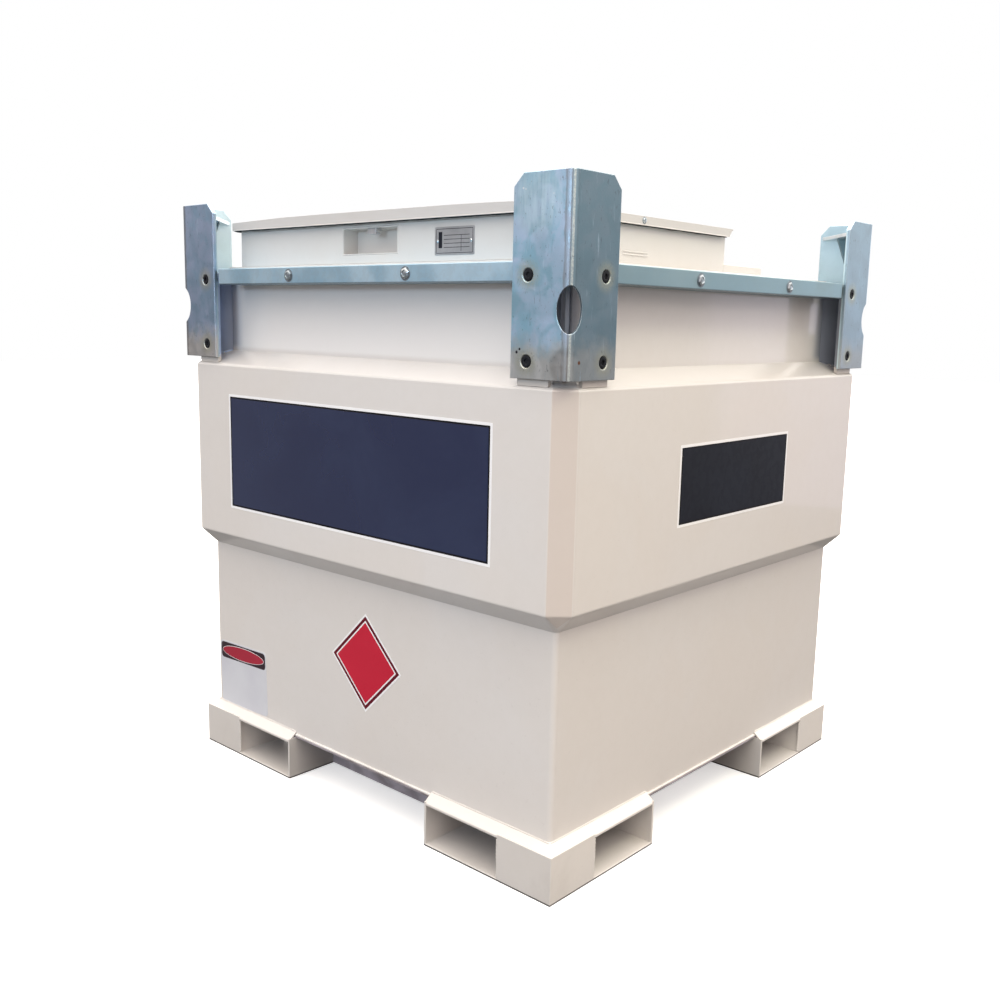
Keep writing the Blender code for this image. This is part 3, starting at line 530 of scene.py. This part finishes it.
# %% Finishes: small metal parts
def small_metal(name, tone, second, rough, metallic=0.9, size=60.0, mirror=0.5):
    """Metal with fine clouds between two tones and a matching change of roughness."""
    material, tree, metal = new_finish(name, Metallic=metallic, Specular_IOR_Level=mirror)
    coat = use_group(tree, "coat_clouds", size=size)
    rounded = use_group(tree, "soft_edge", radius=0.0006)
    base = blend(tree, coat["Clouds"], tone, second)
    feed(tree, base, metal["Base Color"])
    feed(tree, spread(tree, coat["Specks"], 0.0, 1.0, rough, rough + 0.12), metal["Roughness"])
    feed(tree, rounded["Normal"], metal["Normal"])
    return material


bolt_zinc = small_metal("bolt_zinc", (0.40, 0.47, 0.52), (0.66, 0.71, 0.74), 0.12)
washer_zinc = small_metal("washer_zinc", (0.20, 0.24, 0.28), (0.30, 0.34, 0.38), 0.30)
screw_black = small_metal("screw_black", (0.006, 0.007, 0.010), (0.016, 0.018, 0.023), 0.42, 0.0,
                          mirror=0.16)
plate_metal = small_metal("plate_metal", (0.40, 0.41, 0.43), (0.48, 0.49, 0.51), 0.38, 0.8, 20.0)
catch_zinc = small_metal("catch_zinc", (0.60, 0.62, 0.64), (0.72, 0.73, 0.75), 0.30)

# %% Finishes: printed film
def printed_film(name, tone, second, rough=0.30, shine=0.35, mirror=0.5):
    """Vinyl film: nearly even screen colour with faint clouds, and the ripple of the paint."""
    material, tree, film = new_finish(name, Coat_Roughness=0.12, Specular_IOR_Level=mirror)
    coat = use_group(tree, "coat_clouds", size=4.0)
    feed(tree, blend(tree, coat["Clouds"], linear(*tone), linear(*second)), film["Base Color"])
    feed(tree, spread(tree, coat["Specks"], 0.0, 1.0, rough, rough + 0.06), film["Roughness"])
    feed(tree, spread(tree, coat["Clouds"], 0.0, 1.0, shine, 0.8 * shine), film["Coat Weight"])
    feed(tree, rippled(tree, 0.5, 1.0, 0.35), film["Normal"])
    return material


film_navy = printed_film("film_navy", (30, 40, 74), (38, 48, 80), 0.20, 0.75)
film_night = printed_film("film_night", (17, 21, 33), (22, 27, 40), 0.50, 0.02, 0.25)
film_black = printed_film("film_black", (12, 12, 20), (16, 16, 24), 0.40, 0.02, 0.2)
film_white = printed_film("film_white", (254, 254, 254), (248, 248, 250))
film_red = printed_film("film_red", (206, 26, 58), (198, 22, 54))
film_maroon = printed_film("film_maroon", (106, 10, 34), (96, 8, 30), 0.30, 0.20, 0.3)
film_grey = printed_film("film_grey", (218, 220, 226), (210, 211, 219))
film_crimson = printed_film("film_crimson", (176, 34, 60), (166, 30, 56))
film_ink = printed_film("film_ink", (48, 34, 42), (56, 42, 50), 0.30, 0.15, 0.3)
print("film and metal finishes ready")

# %% [markdown]
# Each solid of the frame now gets its finish. The table goes from the start of a node's name
# to the finish, so that all four sides are treated alike.

# %% Give the solids their finishes
finish_of = {
    "body_panel": body_white, "top_deck": cabinet_white, "tank_floor": under_grey_and_shade,
    "cross_plate": under_grey_and_shade, "foot": foot_white, "post_pad": bracket_zinc_and_shade, "post": zinc_post,
    "stack_seat": zinc_seat, "rail": zinc_rail, "cabinet": cabinet_white,
    "cabinet_lid": lid_white_shaded, "handle_pan": cabinet_white, "catch": catch_zinc,
    "rear_cover": cabinet_white, "hinge": bolt_zinc,
}
for name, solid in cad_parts.items():
    start = max((s for s in finish_of if name.startswith(s)), key=len)
    for holder in solid.material_slots:
        holder.material = finish_of[start]
print(len(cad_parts), "solids dressed")

# %% [markdown]
# Every new piece is a surface worked out on a grid: rows run one way, columns the other, and
# numpy works out all points at once. Four helpers turn such grids into a piece: one joins
# neighbouring points into faces, one copies a small shape to many places, one puts several
# shapes together, and one makes the mesh, merges the points where seams and poles meet, and
# turns the faces outwards.

# %% Join a grid into faces
def grid_faces(rows, columns, wrap_rows=False, wrap_columns=True):
    """Quads: corner (i, j) joins (i, j + 1), (i + 1, j + 1) and (i + 1, j)."""
    i, j = np.meshgrid(np.arange(rows if wrap_rows else rows - 1),
                       np.arange(columns if wrap_columns else columns - 1), indexing="ij")
    k, m = (i + 1) % rows, (j + 1) % columns
    corners = (i * columns + j, i * columns + m, k * columns + m, k * columns + j)
    return np.stack(corners, -1).reshape(-1, 4)


# %% Copy and join shapes
def copies(points, quads, places):
    """Each copy is origin + x times right + y times up + z times out of its place."""
    places = np.asarray(places, dtype=float)
    moved = places[:, :1] + points @ places[:, 1:]
    shift = np.arange(len(places))[:, None, None] * len(points)
    return moved.reshape(-1, 3), (quads[None] + shift).reshape(-1, 4)


def joined(parts):
    """Several (points, quads) as one: each part's quads are shifted past the points before it."""
    shift = np.cumsum([0] + [len(points) for points, quads in parts[:-1]])
    return (np.concatenate([points for points, quads in parts]),
            np.concatenate([quads + s for (points, quads), s in zip(parts, shift)]))


side_axes = {
    "front": ((1, 0, 0), (0, 0, 1), (0, -1, 0)), "right": ((0, 1, 0), (0, 0, 1), (1, 0, 0)),
    "back": ((-1, 0, 0), (0, 0, 1), (0, 1, 0)), "left": ((0, -1, 0), (0, 0, 1), (-1, 0, 0)),
}


def on_side(side, reach, along, height, tilt=0.0):
    """A place on one side: reach from the middle, along to the right, height up, turned by tilt."""
    across, rise, out = (np.array(axis, dtype=float) for axis in side_axes[side])
    cosine, sine = math.cos(tilt), math.sin(tilt)
    origin = along * across + height * rise + reach * out
    return np.stack((origin, cosine * across + sine * rise, cosine * rise - sine * across, out))


# %% Make the piece
merge_distance, sharp_angle = 0.000002, math.radians(32.0)


def make_piece(name, points, quads, finish, body="tank", slot=None):
    """A mesh object at the origin that rides on a body of the frame."""
    mesh = bpy.data.meshes.new(name)
    mesh.from_pydata(np.asarray(points, dtype=float).reshape(-1, 3), [], np.asarray(quads))
    shape = bmesh.new()
    shape.from_mesh(mesh)
    bmesh.ops.remove_doubles(shape, verts=shape.verts, dist=merge_distance)
    bmesh.ops.recalc_face_normals(shape, faces=shape.faces)
    shape.to_mesh(mesh)
    shape.free()
    mesh.shade_smooth()
    mesh.set_sharp_from_angle(angle=sharp_angle)
    mesh.materials.append(finish)
    piece = add_object(name, mesh)
    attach(piece, body)
    print("%s: %d faces" % (name, len(mesh.polygons)))


# %% [markdown]
# A screw, a bolt or a washer is a small turned part: a profile of radius and height carried
# round an axis. A hexagon is the same idea with the radius pulled in between the corners, so
# one function makes round and six-sided rings alike.

# %% Turned and six-sided rings
def turned(rings, sides=36):
    """Rings of (radius, height, share): the radius at angle a is radius times
    (1 - share + share * cos 30 / cos(a mod 60 - 30)), round for share 0, a hexagon for 1."""
    rings = np.asarray(rings, dtype=float)
    angle = np.linspace(0.0, 2.0 * np.pi, sides, endpoint=False)
    half_side = math.pi / 6.0
    flat = math.cos(half_side) / np.cos(np.mod(angle, 2.0 * half_side) - half_side)
    radius = rings[:, :1] * (1.0 - rings[:, 2:] + rings[:, 2:] * flat)
    height = np.broadcast_to(rings[:, 1:2], radius.shape)
    points = np.stack((radius * np.cos(angle), radius * np.sin(angle), height), -1)
    return points.reshape(-1, 3), grid_faces(len(rings), sides)


# %% [markdown]
# The posts are held by countersunk socket screws, two in each leg. The head fills the
# countersink and stays just below the face; the hexagon socket goes down into it.

# %% Piece: socket screws in the posts
socket_floor, sink_floor = -0.0026, -0.00295
screw_rings = ((0.0, socket_floor, 1), (0.0046, socket_floor, 1), (0.0050, -0.0009, 1),
               (0.0054, -0.0005, 0.6), (0.0092, -0.0004, 0), (0.0101, -0.0007, 0),
               (0.0103, -0.0012, 0), (0.0101, sink_floor, 0), (0.0, sink_floor, 0))
screw_places = [on_side(side, post_face, along, height)
                for side in side_axes for along in (-screw_at, screw_at) for height in screw_levels]
make_piece("post_screws", *copies(*turned(screw_rings), screw_places), screw_black)

# %% [markdown]
# Two hexagon bolts with washers hold each rail to the neck. Their heads are low: they stay
# behind the outer face of the posts, so that stacked tanks can't catch on them.

# %% Piece: bolts on the rails
rail_low, rail_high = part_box("rail_front")
bolt_level = 0.5 * (rail_low.z + rail_high.z)
bolt_at, bolt_turn, washer_top = 0.18, 0.35, 0.0007
washer_rings = ((0.0, 0.0, 0), (0.0134, 0.0, 0), (0.0136, 0.0003, 0), (0.0134, washer_top, 0),
                (0.0, washer_top, 0))
bolt_rings = ((0.0, washer_top, 1), (0.0112, washer_top, 1), (0.0112, 0.0022, 1),
              (0.0080, 0.0037, 1), (0.0062, 0.0038, 0), (0.0056, 0.0022, 0),
              (0.0044, 0.0024, 0), (0.0040, 0.0034, 0), (0.0, 0.0036, 0))
bolt_places = [on_side(side, rail_face, along, bolt_level, bolt_turn)
               for side in side_axes for along in (-bolt_at, bolt_at)]
washers, bolts = copies(*turned(washer_rings), bolt_places), copies(*turned(bolt_rings), bolt_places)
make_piece("rail_washers", *washers, washer_zinc, slot="zinc_coat")
make_piece("rail_bolts", *bolts, bolt_zinc, slot="zinc_coat")

# %% [markdown]
# The lower screws of a post end in hexagon nuts on the inner face of the bracket's plates.
# Only their sides show, through the dark space between neck and post.

# %% Piece: nuts behind the brackets
nut_end, screw_end, nut_gap = -0.0072, -0.0108, 0.0001
nut_rings = ((0.0, 0.0, 1), (0.0098, 0.0, 1), (0.0098, -0.0062, 1), (0.0084, nut_end, 0.3),
             (0.0052, nut_end, 0), (0.0052, -0.0102, 0), (0.0046, screw_end, 0), (0.0, screw_end, 0))
nut_places = [on_side(side, bracket_face - nut_gap, along, screw_levels[0])
              for side in side_axes for along in (-screw_at, screw_at)]
make_piece("bracket_nuts", *copies(*turned(nut_rings), nut_places), screw_black)

# %% [markdown]
# Signs and panels are thin film or sheet. A film is an outline carried through a few rows:
# the middle of its face, the face's edge, the rim, and the same again below. The outline is
# a rounded rectangle or an oval, and each row draws it in by a small inset.

# %% Outlines and sheets
def rounded_box(half_wide, half_high, radius, steps=6):
    """Outline as a function of inset: corner centres plus (radius - inset) times (cos, sin)."""
    quarter = np.pi / 2.0
    angle = np.concatenate([np.linspace(0.0, quarter, steps) + k * quarter for k in range(4)])
    corner = np.repeat(np.array(((1, 1), (-1, 1), (-1, -1), (1, -1))), steps, axis=0)
    arc = np.stack((np.cos(angle), np.sin(angle)), -1)

    def outline(inset):
        past = max(inset - radius, 0.0)
        centre = corner * (half_wide - radius - past, half_high - radius - past)
        return centre + max(radius - inset, 0.0) * arc
    return outline


def oval(half_wide, half_high, steps=48):
    """Outline as a function of inset: ((half_wide - inset) cos a, (half_high - inset) sin a)."""
    angle = np.linspace(0.0, 2.0 * np.pi, steps, endpoint=False)
    circle = np.stack((np.cos(angle), np.sin(angle)), -1)
    return lambda inset: circle * (half_wide - inset, half_high - inset)


def sheet(outline, low, high, rim=0.0001):
    """Closed thin sheet from height low to high, with its upper edge broken by rim."""
    edge = outline(0.0)
    flat = (np.zeros_like(edge), outline(rim), edge, edge, np.zeros_like(edge))
    heights = (high, high, high - rim, low, low)
    rows = [np.column_stack((row, np.full(len(row), height)))
            for row, height in zip(flat, heights)]
    return np.concatenate(rows), grid_faces(len(rows), len(edge))


first_film, next_film = 0.00020, 0.00012


def film_layers(name, layers, places):
    """A stack of sheets, each as (label, outline, finish), from the carrying face outwards."""
    for step, (label, outline, finish) in enumerate(layers):
        layer = sheet(outline, 0.0, first_film + next_film * step, 0.00005)
        make_piece(name + "_" + label, *copies(*layer, places), finish)


# %% [markdown]
# The band carries a large dark blue panel on the front and a smaller, nearly black one on
# the right. Each is edged by a fine black line and a white one. The far sides repeat them.

# %% Pieces: blue panels
def blue_panel(name, half_wide, half_high, places, field):
    """White, black and blue sheets; each leaves 4 to 6 mm of the one below to be seen."""
    film_layers(name, (
        ("edge", rounded_box(half_wide + 0.0055, half_high + 0.0055, 0.0015), film_white),
        ("line", rounded_box(half_wide, half_high, 0.0008), film_black),
        ("field", rounded_box(half_wide - 0.0038, half_high - 0.0038, 0.0005), field)), places)


large_places = [on_side(side, band_face, -0.003, 0.7503) for side in ("front", "back")]
small_places = [on_side(side, band_face, 0.0035, 0.7498) for side in ("right", "left")]
blue_panel("large_panel", 0.4055, 0.1268, large_places, film_navy)
blue_panel("small_panel", 0.2145, 0.0763, small_places, film_night)

# %% [markdown]
# Below the band the front has a red diamond with a white rim, a dark red band and a white
# line. A diamond is a square outline turned by 45 degrees.

# %% Piece: red diamond
def diamond(half_wide, half_high):
    """A square outline turned by 45 degrees and stretched to the two half diagonals, which an
    inset shortens by its own diagonal, inset times the root of 2."""
    root = math.sqrt(0.5)
    square = rounded_box(root, root, 0.010)(0.0) @ np.array(((1, 1), (-1, 1))) * root
    return lambda inset: square * (half_wide - inset / root, half_high - inset / root)


diamond_places = [on_side(side, lower_face, 0.0195, 0.334) for side in ("front", "back")]
film_layers("diamond", (
    ("rim", diamond(0.1120, 0.1095), film_white), ("band", diamond(0.1062, 0.1037), film_maroon),
    ("line", diamond(0.0968, 0.0943), film_white), ("field", diamond(0.0924, 0.0899), film_red)),
    diamond_places)

# %% [markdown]
# A blank notice sheet sits low at the left of the front: pale grey, with a dark header that
# holds a plain red oval. It was stuck on slightly askew.

# %% Piece: notice sheet
notice = [on_side("front", lower_face, -0.4315, 0.1905, 0.030)]


def lifted(places, along, height):
    """The same places moved along and up on their own side."""
    return [np.concatenate(((p[0] + along * p[1] + height * p[2])[None], p[1:])) for p in places]


header = lifted(notice, 0.0, 0.0555)
for label, outline, high, places, finish in (
        ("sheet", rounded_box(0.0940, 0.0790, 0.010), 0.00050, notice, film_grey),
        ("header", rounded_box(0.0905, 0.0200, 0.009), 0.00062, header, film_ink),
        ("oval_rim", oval(0.0850, 0.0168), 0.00074, header, film_white),
        ("oval", oval(0.0839, 0.0157), 0.00086, header, film_crimson)):
    make_piece("notice_" + label, *copies(*sheet(outline, 0.0, high), places), finish)

# %% [markdown]
# A small metal plate is riveted to the cabinet's front. Its fields are ruled but empty; each
# rule is a thin bar, given by its middle and its half width and half height.

# %% Piece: rating plate
plate_place = [on_side("front", cabinet_face, 0.242, 1.2088)]
plate_outline, plate_top = rounded_box(0.0520, 0.0262, 0.0030), 0.0008
make_piece("plate_sheet", *copies(*sheet(plate_outline, 0.0, plate_top), plate_place), plate_metal)
rule, rule_top = 0.0005, 0.00095
lines = [(0.0, 0.0222, 0.0480, rule), (0.0, -0.0222, 0.0480, rule)]
lines += [(0.006, level, 0.0340, rule) for level in (0.0105, 0.0030, -0.0045, -0.0120)]
lines += [(-0.0478, 0.0, rule, 0.0222), (0.0478, 0.0, rule, 0.0222), (0.018, -0.0045, rule, 0.0150),
          (-0.0370, 0.002, 0.0048, 0.0150)]
rules = joined([copies(*sheet(rounded_box(w, h, 0.0002, 2), 0.0, rule_top), lifted(plate_place, x, y))
                for x, y, w, h in lines])
make_piece("plate_rules", *rules, film_night)
rivet, rivet_rise, rivet_at = 0.0034, 0.0018, 0.0440
dome = [(rivet * math.sin(a), plate_top + rivet_rise * math.cos(a), 0)
        for a in np.radians((0, 25, 50, 70, 90))]
rivet_rings = dome + [(rivet, 0.0, 0), (0.0, 0.0, 0)]
rivet_places = lifted(plate_place, -rivet_at, 0.0) + lifted(plate_place, rivet_at, 0.0)
make_piece("plate_rivets", *copies(*turned(rivet_rings, 20), rivet_places), bolt_zinc)

# %% [markdown]
# Welders leave beads where sheets meet: along the lip under the body between the feet, along
# the upper edge of each foot, and up the corner tube in it. A bead is a small round section
# carried along a line, with its radius rippling from one dab of metal to the next.

# %% Carry a bead along a line
def bead(path, inward, rise, radius, pitch=0.0055, seed=1.0):
    """A section circle at each station s, with the radius times (1 + 0.12 sin(2 pi s / pitch)
    + 0.10 sin(61 s + seed) + 0.08 sin(143 s + 2 seed)); inward and rise are its two axes."""
    path = np.asarray(path, dtype=float)
    steps = np.linalg.norm(np.diff(path, axis=0), axis=1)
    run = np.concatenate(((0.0,), np.cumsum(steps)))
    station = np.linspace(0.0, run[-1], max(int(run[-1] / (pitch / 5.0)), 8))
    line = np.stack([np.interp(station, run, path[:, k]) for k in range(3)], -1)
    wave = 0.10 * np.sin(station * 61.0 + seed) + 0.08 * np.sin(station * 143.0 + 2.0 * seed)
    size = radius * (1.0 + 0.12 * np.sin(2.0 * np.pi * station / pitch) + wave)
    size[0] = size[-1] = 0.0
    angle = np.linspace(0.0, 2.0 * np.pi, 10, endpoint=False)
    ring = np.stack((np.cos(angle), np.sin(angle)), -1) @ np.array((inward, rise), dtype=float)
    points = line[:, None] + size[:, None, None] * ring
    return points.reshape(-1, 3), grid_faces(len(line), len(angle))


# %% Pieces: beads under the body and round the feet
across, outwards, upwards = (1, 0, 0), (0, 1, 0), (0, 0, 1)
lip_end, lip_rise = foot_low.x - 0.001, 0.0012
lip = bead([(-lip_end, 0.0, 0.0), (lip_end, 0.0, 0.0)], upwards, outwards, 0.0026)
lip_places = [on_side(side, lower_face + lip_rise, 0.0, floor_top + lip_rise) for side in side_axes]
make_piece("lip_beads", *copies(*lip, lip_places), body_white, slot="white_paint")
line_at, arm_end, bend_start = lower_face + 0.0006, foot_low.x + 0.002, lower_face - 0.004
bend_middle = line_at - 0.0015
foot_line = bead([(arm_end, -line_at, 0.0), (bend_start, -line_at, 0.0),
                  (bend_middle, -bend_middle, 0.0), (line_at, -bend_start, 0.0),
                  (line_at, -arm_end, 0.0)], (0.707, -0.707, 0), upwards, 0.0018)


def at_corners(height):
    """The frame raised by height and turned by 0, 90, 180 and 270 degrees."""
    return [((0, 0, height), (math.cos(t), math.sin(t), 0), (-math.sin(t), math.cos(t), 0), upwards)
            for t in np.radians((0, 90, 180, 270))]


make_piece("foot_beads", *copies(*foot_line, at_corners(foot_high.z)), foot_white, slot="white_paint")
tube_edge, foot_face = foot_high.x - 0.1343, foot_high.x - 0.0030
weld_low, weld_high, weld_radius, weld_pitch = 0.0075, 0.0865, 0.0029, 0.0075
tube_lines = joined([bead([(u, v, weld_low), (u, v, weld_high)], across, outwards,
                          weld_radius, weld_pitch, 3.0 + 2.0 * u)
                     for u, v in ((tube_edge, -foot_face), (foot_face, -tube_edge))])
make_piece("foot_welds", *copies(*tube_lines, at_corners(0)), foot_white, slot="white_paint")

# %% [markdown]
# The lid's rim is folded back at its lower edge, which shows as a fine bright roll; a thin black bead
# just inside it is painted shadow, the dark line under the rim. One small screw with a washer sits in
# each side of the rim.

# %% Pieces: hem, painted shadow line and screws of the lid
def rim_line(inset, end, level, radius):
    """Beads along three sides of the rim: from end before the rear edge to the front, across,
    and back again, inset from the rim's faces."""
    side, front, rear = lid_high.x - inset, lid_low.y + inset, lid_high.y - end
    path = [(-side, rear, level), (-side, front, level), (side, front, level), (side, rear, level)]
    return joined([bead(path[k:k + 2], outwards if k == 1 else across, upwards, radius, 0.05, k)
                   for k in range(3)])


hem = 0.0011
make_piece("lid_hem", *rim_line(0.0004, 0.016, lid_low.z + hem, hem), foot_white, "lid", "white_paint")
# Painted shadow: a black bead under the rim's hem.
make_piece("lid_shadow_line", *rim_line(0.0028, 0.018, lid_low.z - 0.0008, 0.0014), film_black, "lid")
rim_face, rim_level, washer_top = lid_high.x - 0.0003, 1.2605, 0.0010
rim_screw_rings = ((0.0, 0.0022, 1), (0.0020, 0.0022, 1), (0.0022, 0.0030, 0.5), (0.0044, 0.0027, 0),
                   (0.0052, 0.0012, 0), (0.0052, 0.0, 0), (0.0, 0.0, 0))
rim_places = [on_side(side, rim_face, along, rim_level)
              for side, along in (("right", -0.206), ("left", 0.206))]
make_piece("rim_screws", *copies(*turned(rim_screw_rings, 24), rim_places), bolt_zinc, "lid")
rim_washer_rings = ((0.0, 0.0, 0), (0.0066, 0.0, 0), (0.0068, 0.0006, 0), (0.0062, washer_top, 0),
                    (0.0, washer_top, 0))
make_piece("rim_washers", *copies(*turned(rim_washer_rings, 24), rim_places), washer_zinc, "lid")

# %% [markdown]
# Two short ribs are pressed into each side wall of the cabinet. A rib is a flat oval section
# carried along a line that tapers at both ends; the outer half of it stands out of the wall.

# %% Piece: ribs on the cabinet sides
def rib(half_long, half_high, proud, steps=40, sides=16):
    """Station u from -1 to 1 has size (1 - u^6)^(1/2); its section is an oval of that size,
    half of it sunk in the wall."""
    u = np.sin(np.linspace(-np.pi / 2.0, np.pi / 2.0, steps))
    size = np.sqrt(np.clip(1.0 - u ** 6, 0.0, 1.0))[:, None]
    angle = np.linspace(0.0, 2.0 * np.pi, sides, endpoint=False)
    along = np.broadcast_to(u[:, None] * half_long, (steps, sides))
    points = np.stack((along, size * half_high * np.cos(angle), size * proud * np.sin(angle)), -1)
    return points.reshape(-1, 3), grid_faces(steps, sides)


rib_places = [on_side(side, cabinet_side, along, height)
              for side, along in (("right", -0.2145), ("left", 0.2145)) for height in (1.2000, 1.1945)]
ribs = copies(*rib(0.0445, 0.0018, 0.0024), rib_places)
make_piece("cabinet_ribs", *ribs, cabinet_white, slot="white_paint")

# %% [markdown]
# The floor is a plain pale sheet. Seen by the camera it is nearly white; what it throws back
# on the tank is less, as from the grey floor of a hall, which keeps the sloping underside
# of the band in shade.

# %% Floor
floor_reach, floor_level = 20.0, -0.0003
floor_points = [(x * floor_reach, y * floor_reach, floor_level)
                for x, y in ((-1, -1), (1, -1), (1, 1), (-1, 1))]
floor_mesh = bpy.data.meshes.new("studio_floor")
floor_mesh.from_pydata(floor_points, [], [(0, 1, 2, 3)])
studio_floor = add_object("studio_floor", floor_mesh)
floor_finish, tree, paint = new_finish("floor_finish", Roughness=0.9, Specular_IOR_Level=0.1)
seen = tree.nodes.new("ShaderNodeLightPath").outputs["Is Camera Ray"]
feed(tree, blend(tree, seen, (0.09, 0.09, 0.09), (0.90, 0.90, 0.90)), paint["Base Color"])
paint["Emission Color"].default_value = (1.0, 1.0, 1.0, 1.0)
feed(tree, times(tree, seen, 0.45), paint["Emission Strength"])
floor_mesh.materials.append(floor_finish)

# %% [markdown]
# The light of a hall is a bright ceiling, a dark horizon with a few bright openings, and
# lamps at some distance. The world gives the soft part: each opening is a lobe of brightness
# round one direction, and those lobes are what the metal mirrors.

# %% World
world = bpy.data.worlds.new("hall")
bpy.context.scene.world = world
world.use_nodes = True
tree = world.node_tree
glow = tree.nodes["Background"]
look = tree.nodes.new("ShaderNodeTexCoord").outputs["Generated"]
axes = tree.nodes.new("ShaderNodeSeparateXYZ")
tree.links.new(look, axes.inputs[0])


def glow_from(direction, power, colour, fade=True):
    """Colour times (direction of sight . direction) to a power, faded high above the horizon."""
    facing = sums(tree, "DOT_PRODUCT", look, direction, kind="VectorMath")
    share = sums(tree, "POWER", sums(tree, "MAXIMUM", facing, 0.0), power)
    if fade:
        share = times(tree, share, spread(tree, axes.outputs[2], 0.25, 0.75, 1.0, 0.0))
    return blend(tree, share, (0.0, 0.0, 0.0), colour)


hall_lights = (
    ((0, 0, 1), 1.0, (2.72, 2.52, 2.30), False), ((0, -1, 0), 2.0, (0.15, 0.15, 0.17), True),
    ((1, 0, 0), 6.0, (0.66, 0.53, 0.52), True), ((0, 1, 0), 10.0, (1.25, 1.40, 1.46), True),
    ((-0.45, 0.75, 0.48), 6.0, (1.9, 1.8, 1.65), False))
tone = (0.160, 0.140, 0.150)
for direction, power, colour, fade in hall_lights:
    tone = blend(tree, 1.0, tone, glow_from(direction, power, colour, fade), "ADD")
seen = tree.nodes.new("ShaderNodeLightPath").outputs["Is Camera Ray"]
feed(tree, blend(tree, seen, tone, (1.0, 1.0, 1.0)), glow.inputs["Color"])
print("lights of the hall:", len(hall_lights))

# %% Lamps
def lamp(name, place, target, wide, high, power, colour):
    """A rectangular lamp at place that shines at target."""
    data = bpy.data.lights.new(name, "AREA")
    data.shape = "RECTANGLE"
    data.size, data.size_y, data.energy, data.color = wide, high, power, colour
    shining = add_object(name, data)
    out = np.array(place, float) - np.array(target, float)
    out /= np.linalg.norm(out)
    straight_down = abs(out[2]) > 0.99
    side = np.array((1.0, 0.0, 0.0)) if straight_down else np.cross((0.0, 0.0, 1.0), out)
    side /= np.linalg.norm(side)
    shining.matrix_world = turned_to(side, np.cross(out, side), out, place)
    shining.visible_camera = False


lamp("ceiling_lamp", (0.0, 0.0, 4.4), (0.0, 0.0, 0.0), 3.2, 3.2, 41.0, (1.0, 0.99, 0.97))
lamp("right_lamp", (3.1, -0.62, 2.30), (0.5, 0.0, 0.8), 0.45, 0.45, 4.0, (1.0, 0.90, 0.75))
lamp("high_lamp", (2.3, -0.62, 3.2), (0.5, -0.2, 0.8), 0.6, 0.6, 14.0, (0.92, 0.96, 0.66))
lamp("front_lamp", (0.35, -3.6, 1.62), (0.1, -0.5, 0.8), 0.6, 0.4, 22.0, (0.60, 0.79, 0.98))
lamp("window_lamp", (2.29, 3.81, 0.64), (0.575, 0.2, 0.82), 0.95, 1.25, 1.6, (0.80, 0.70, 1.0))
bpy.context.scene.view_settings.view_transform = "Standard"
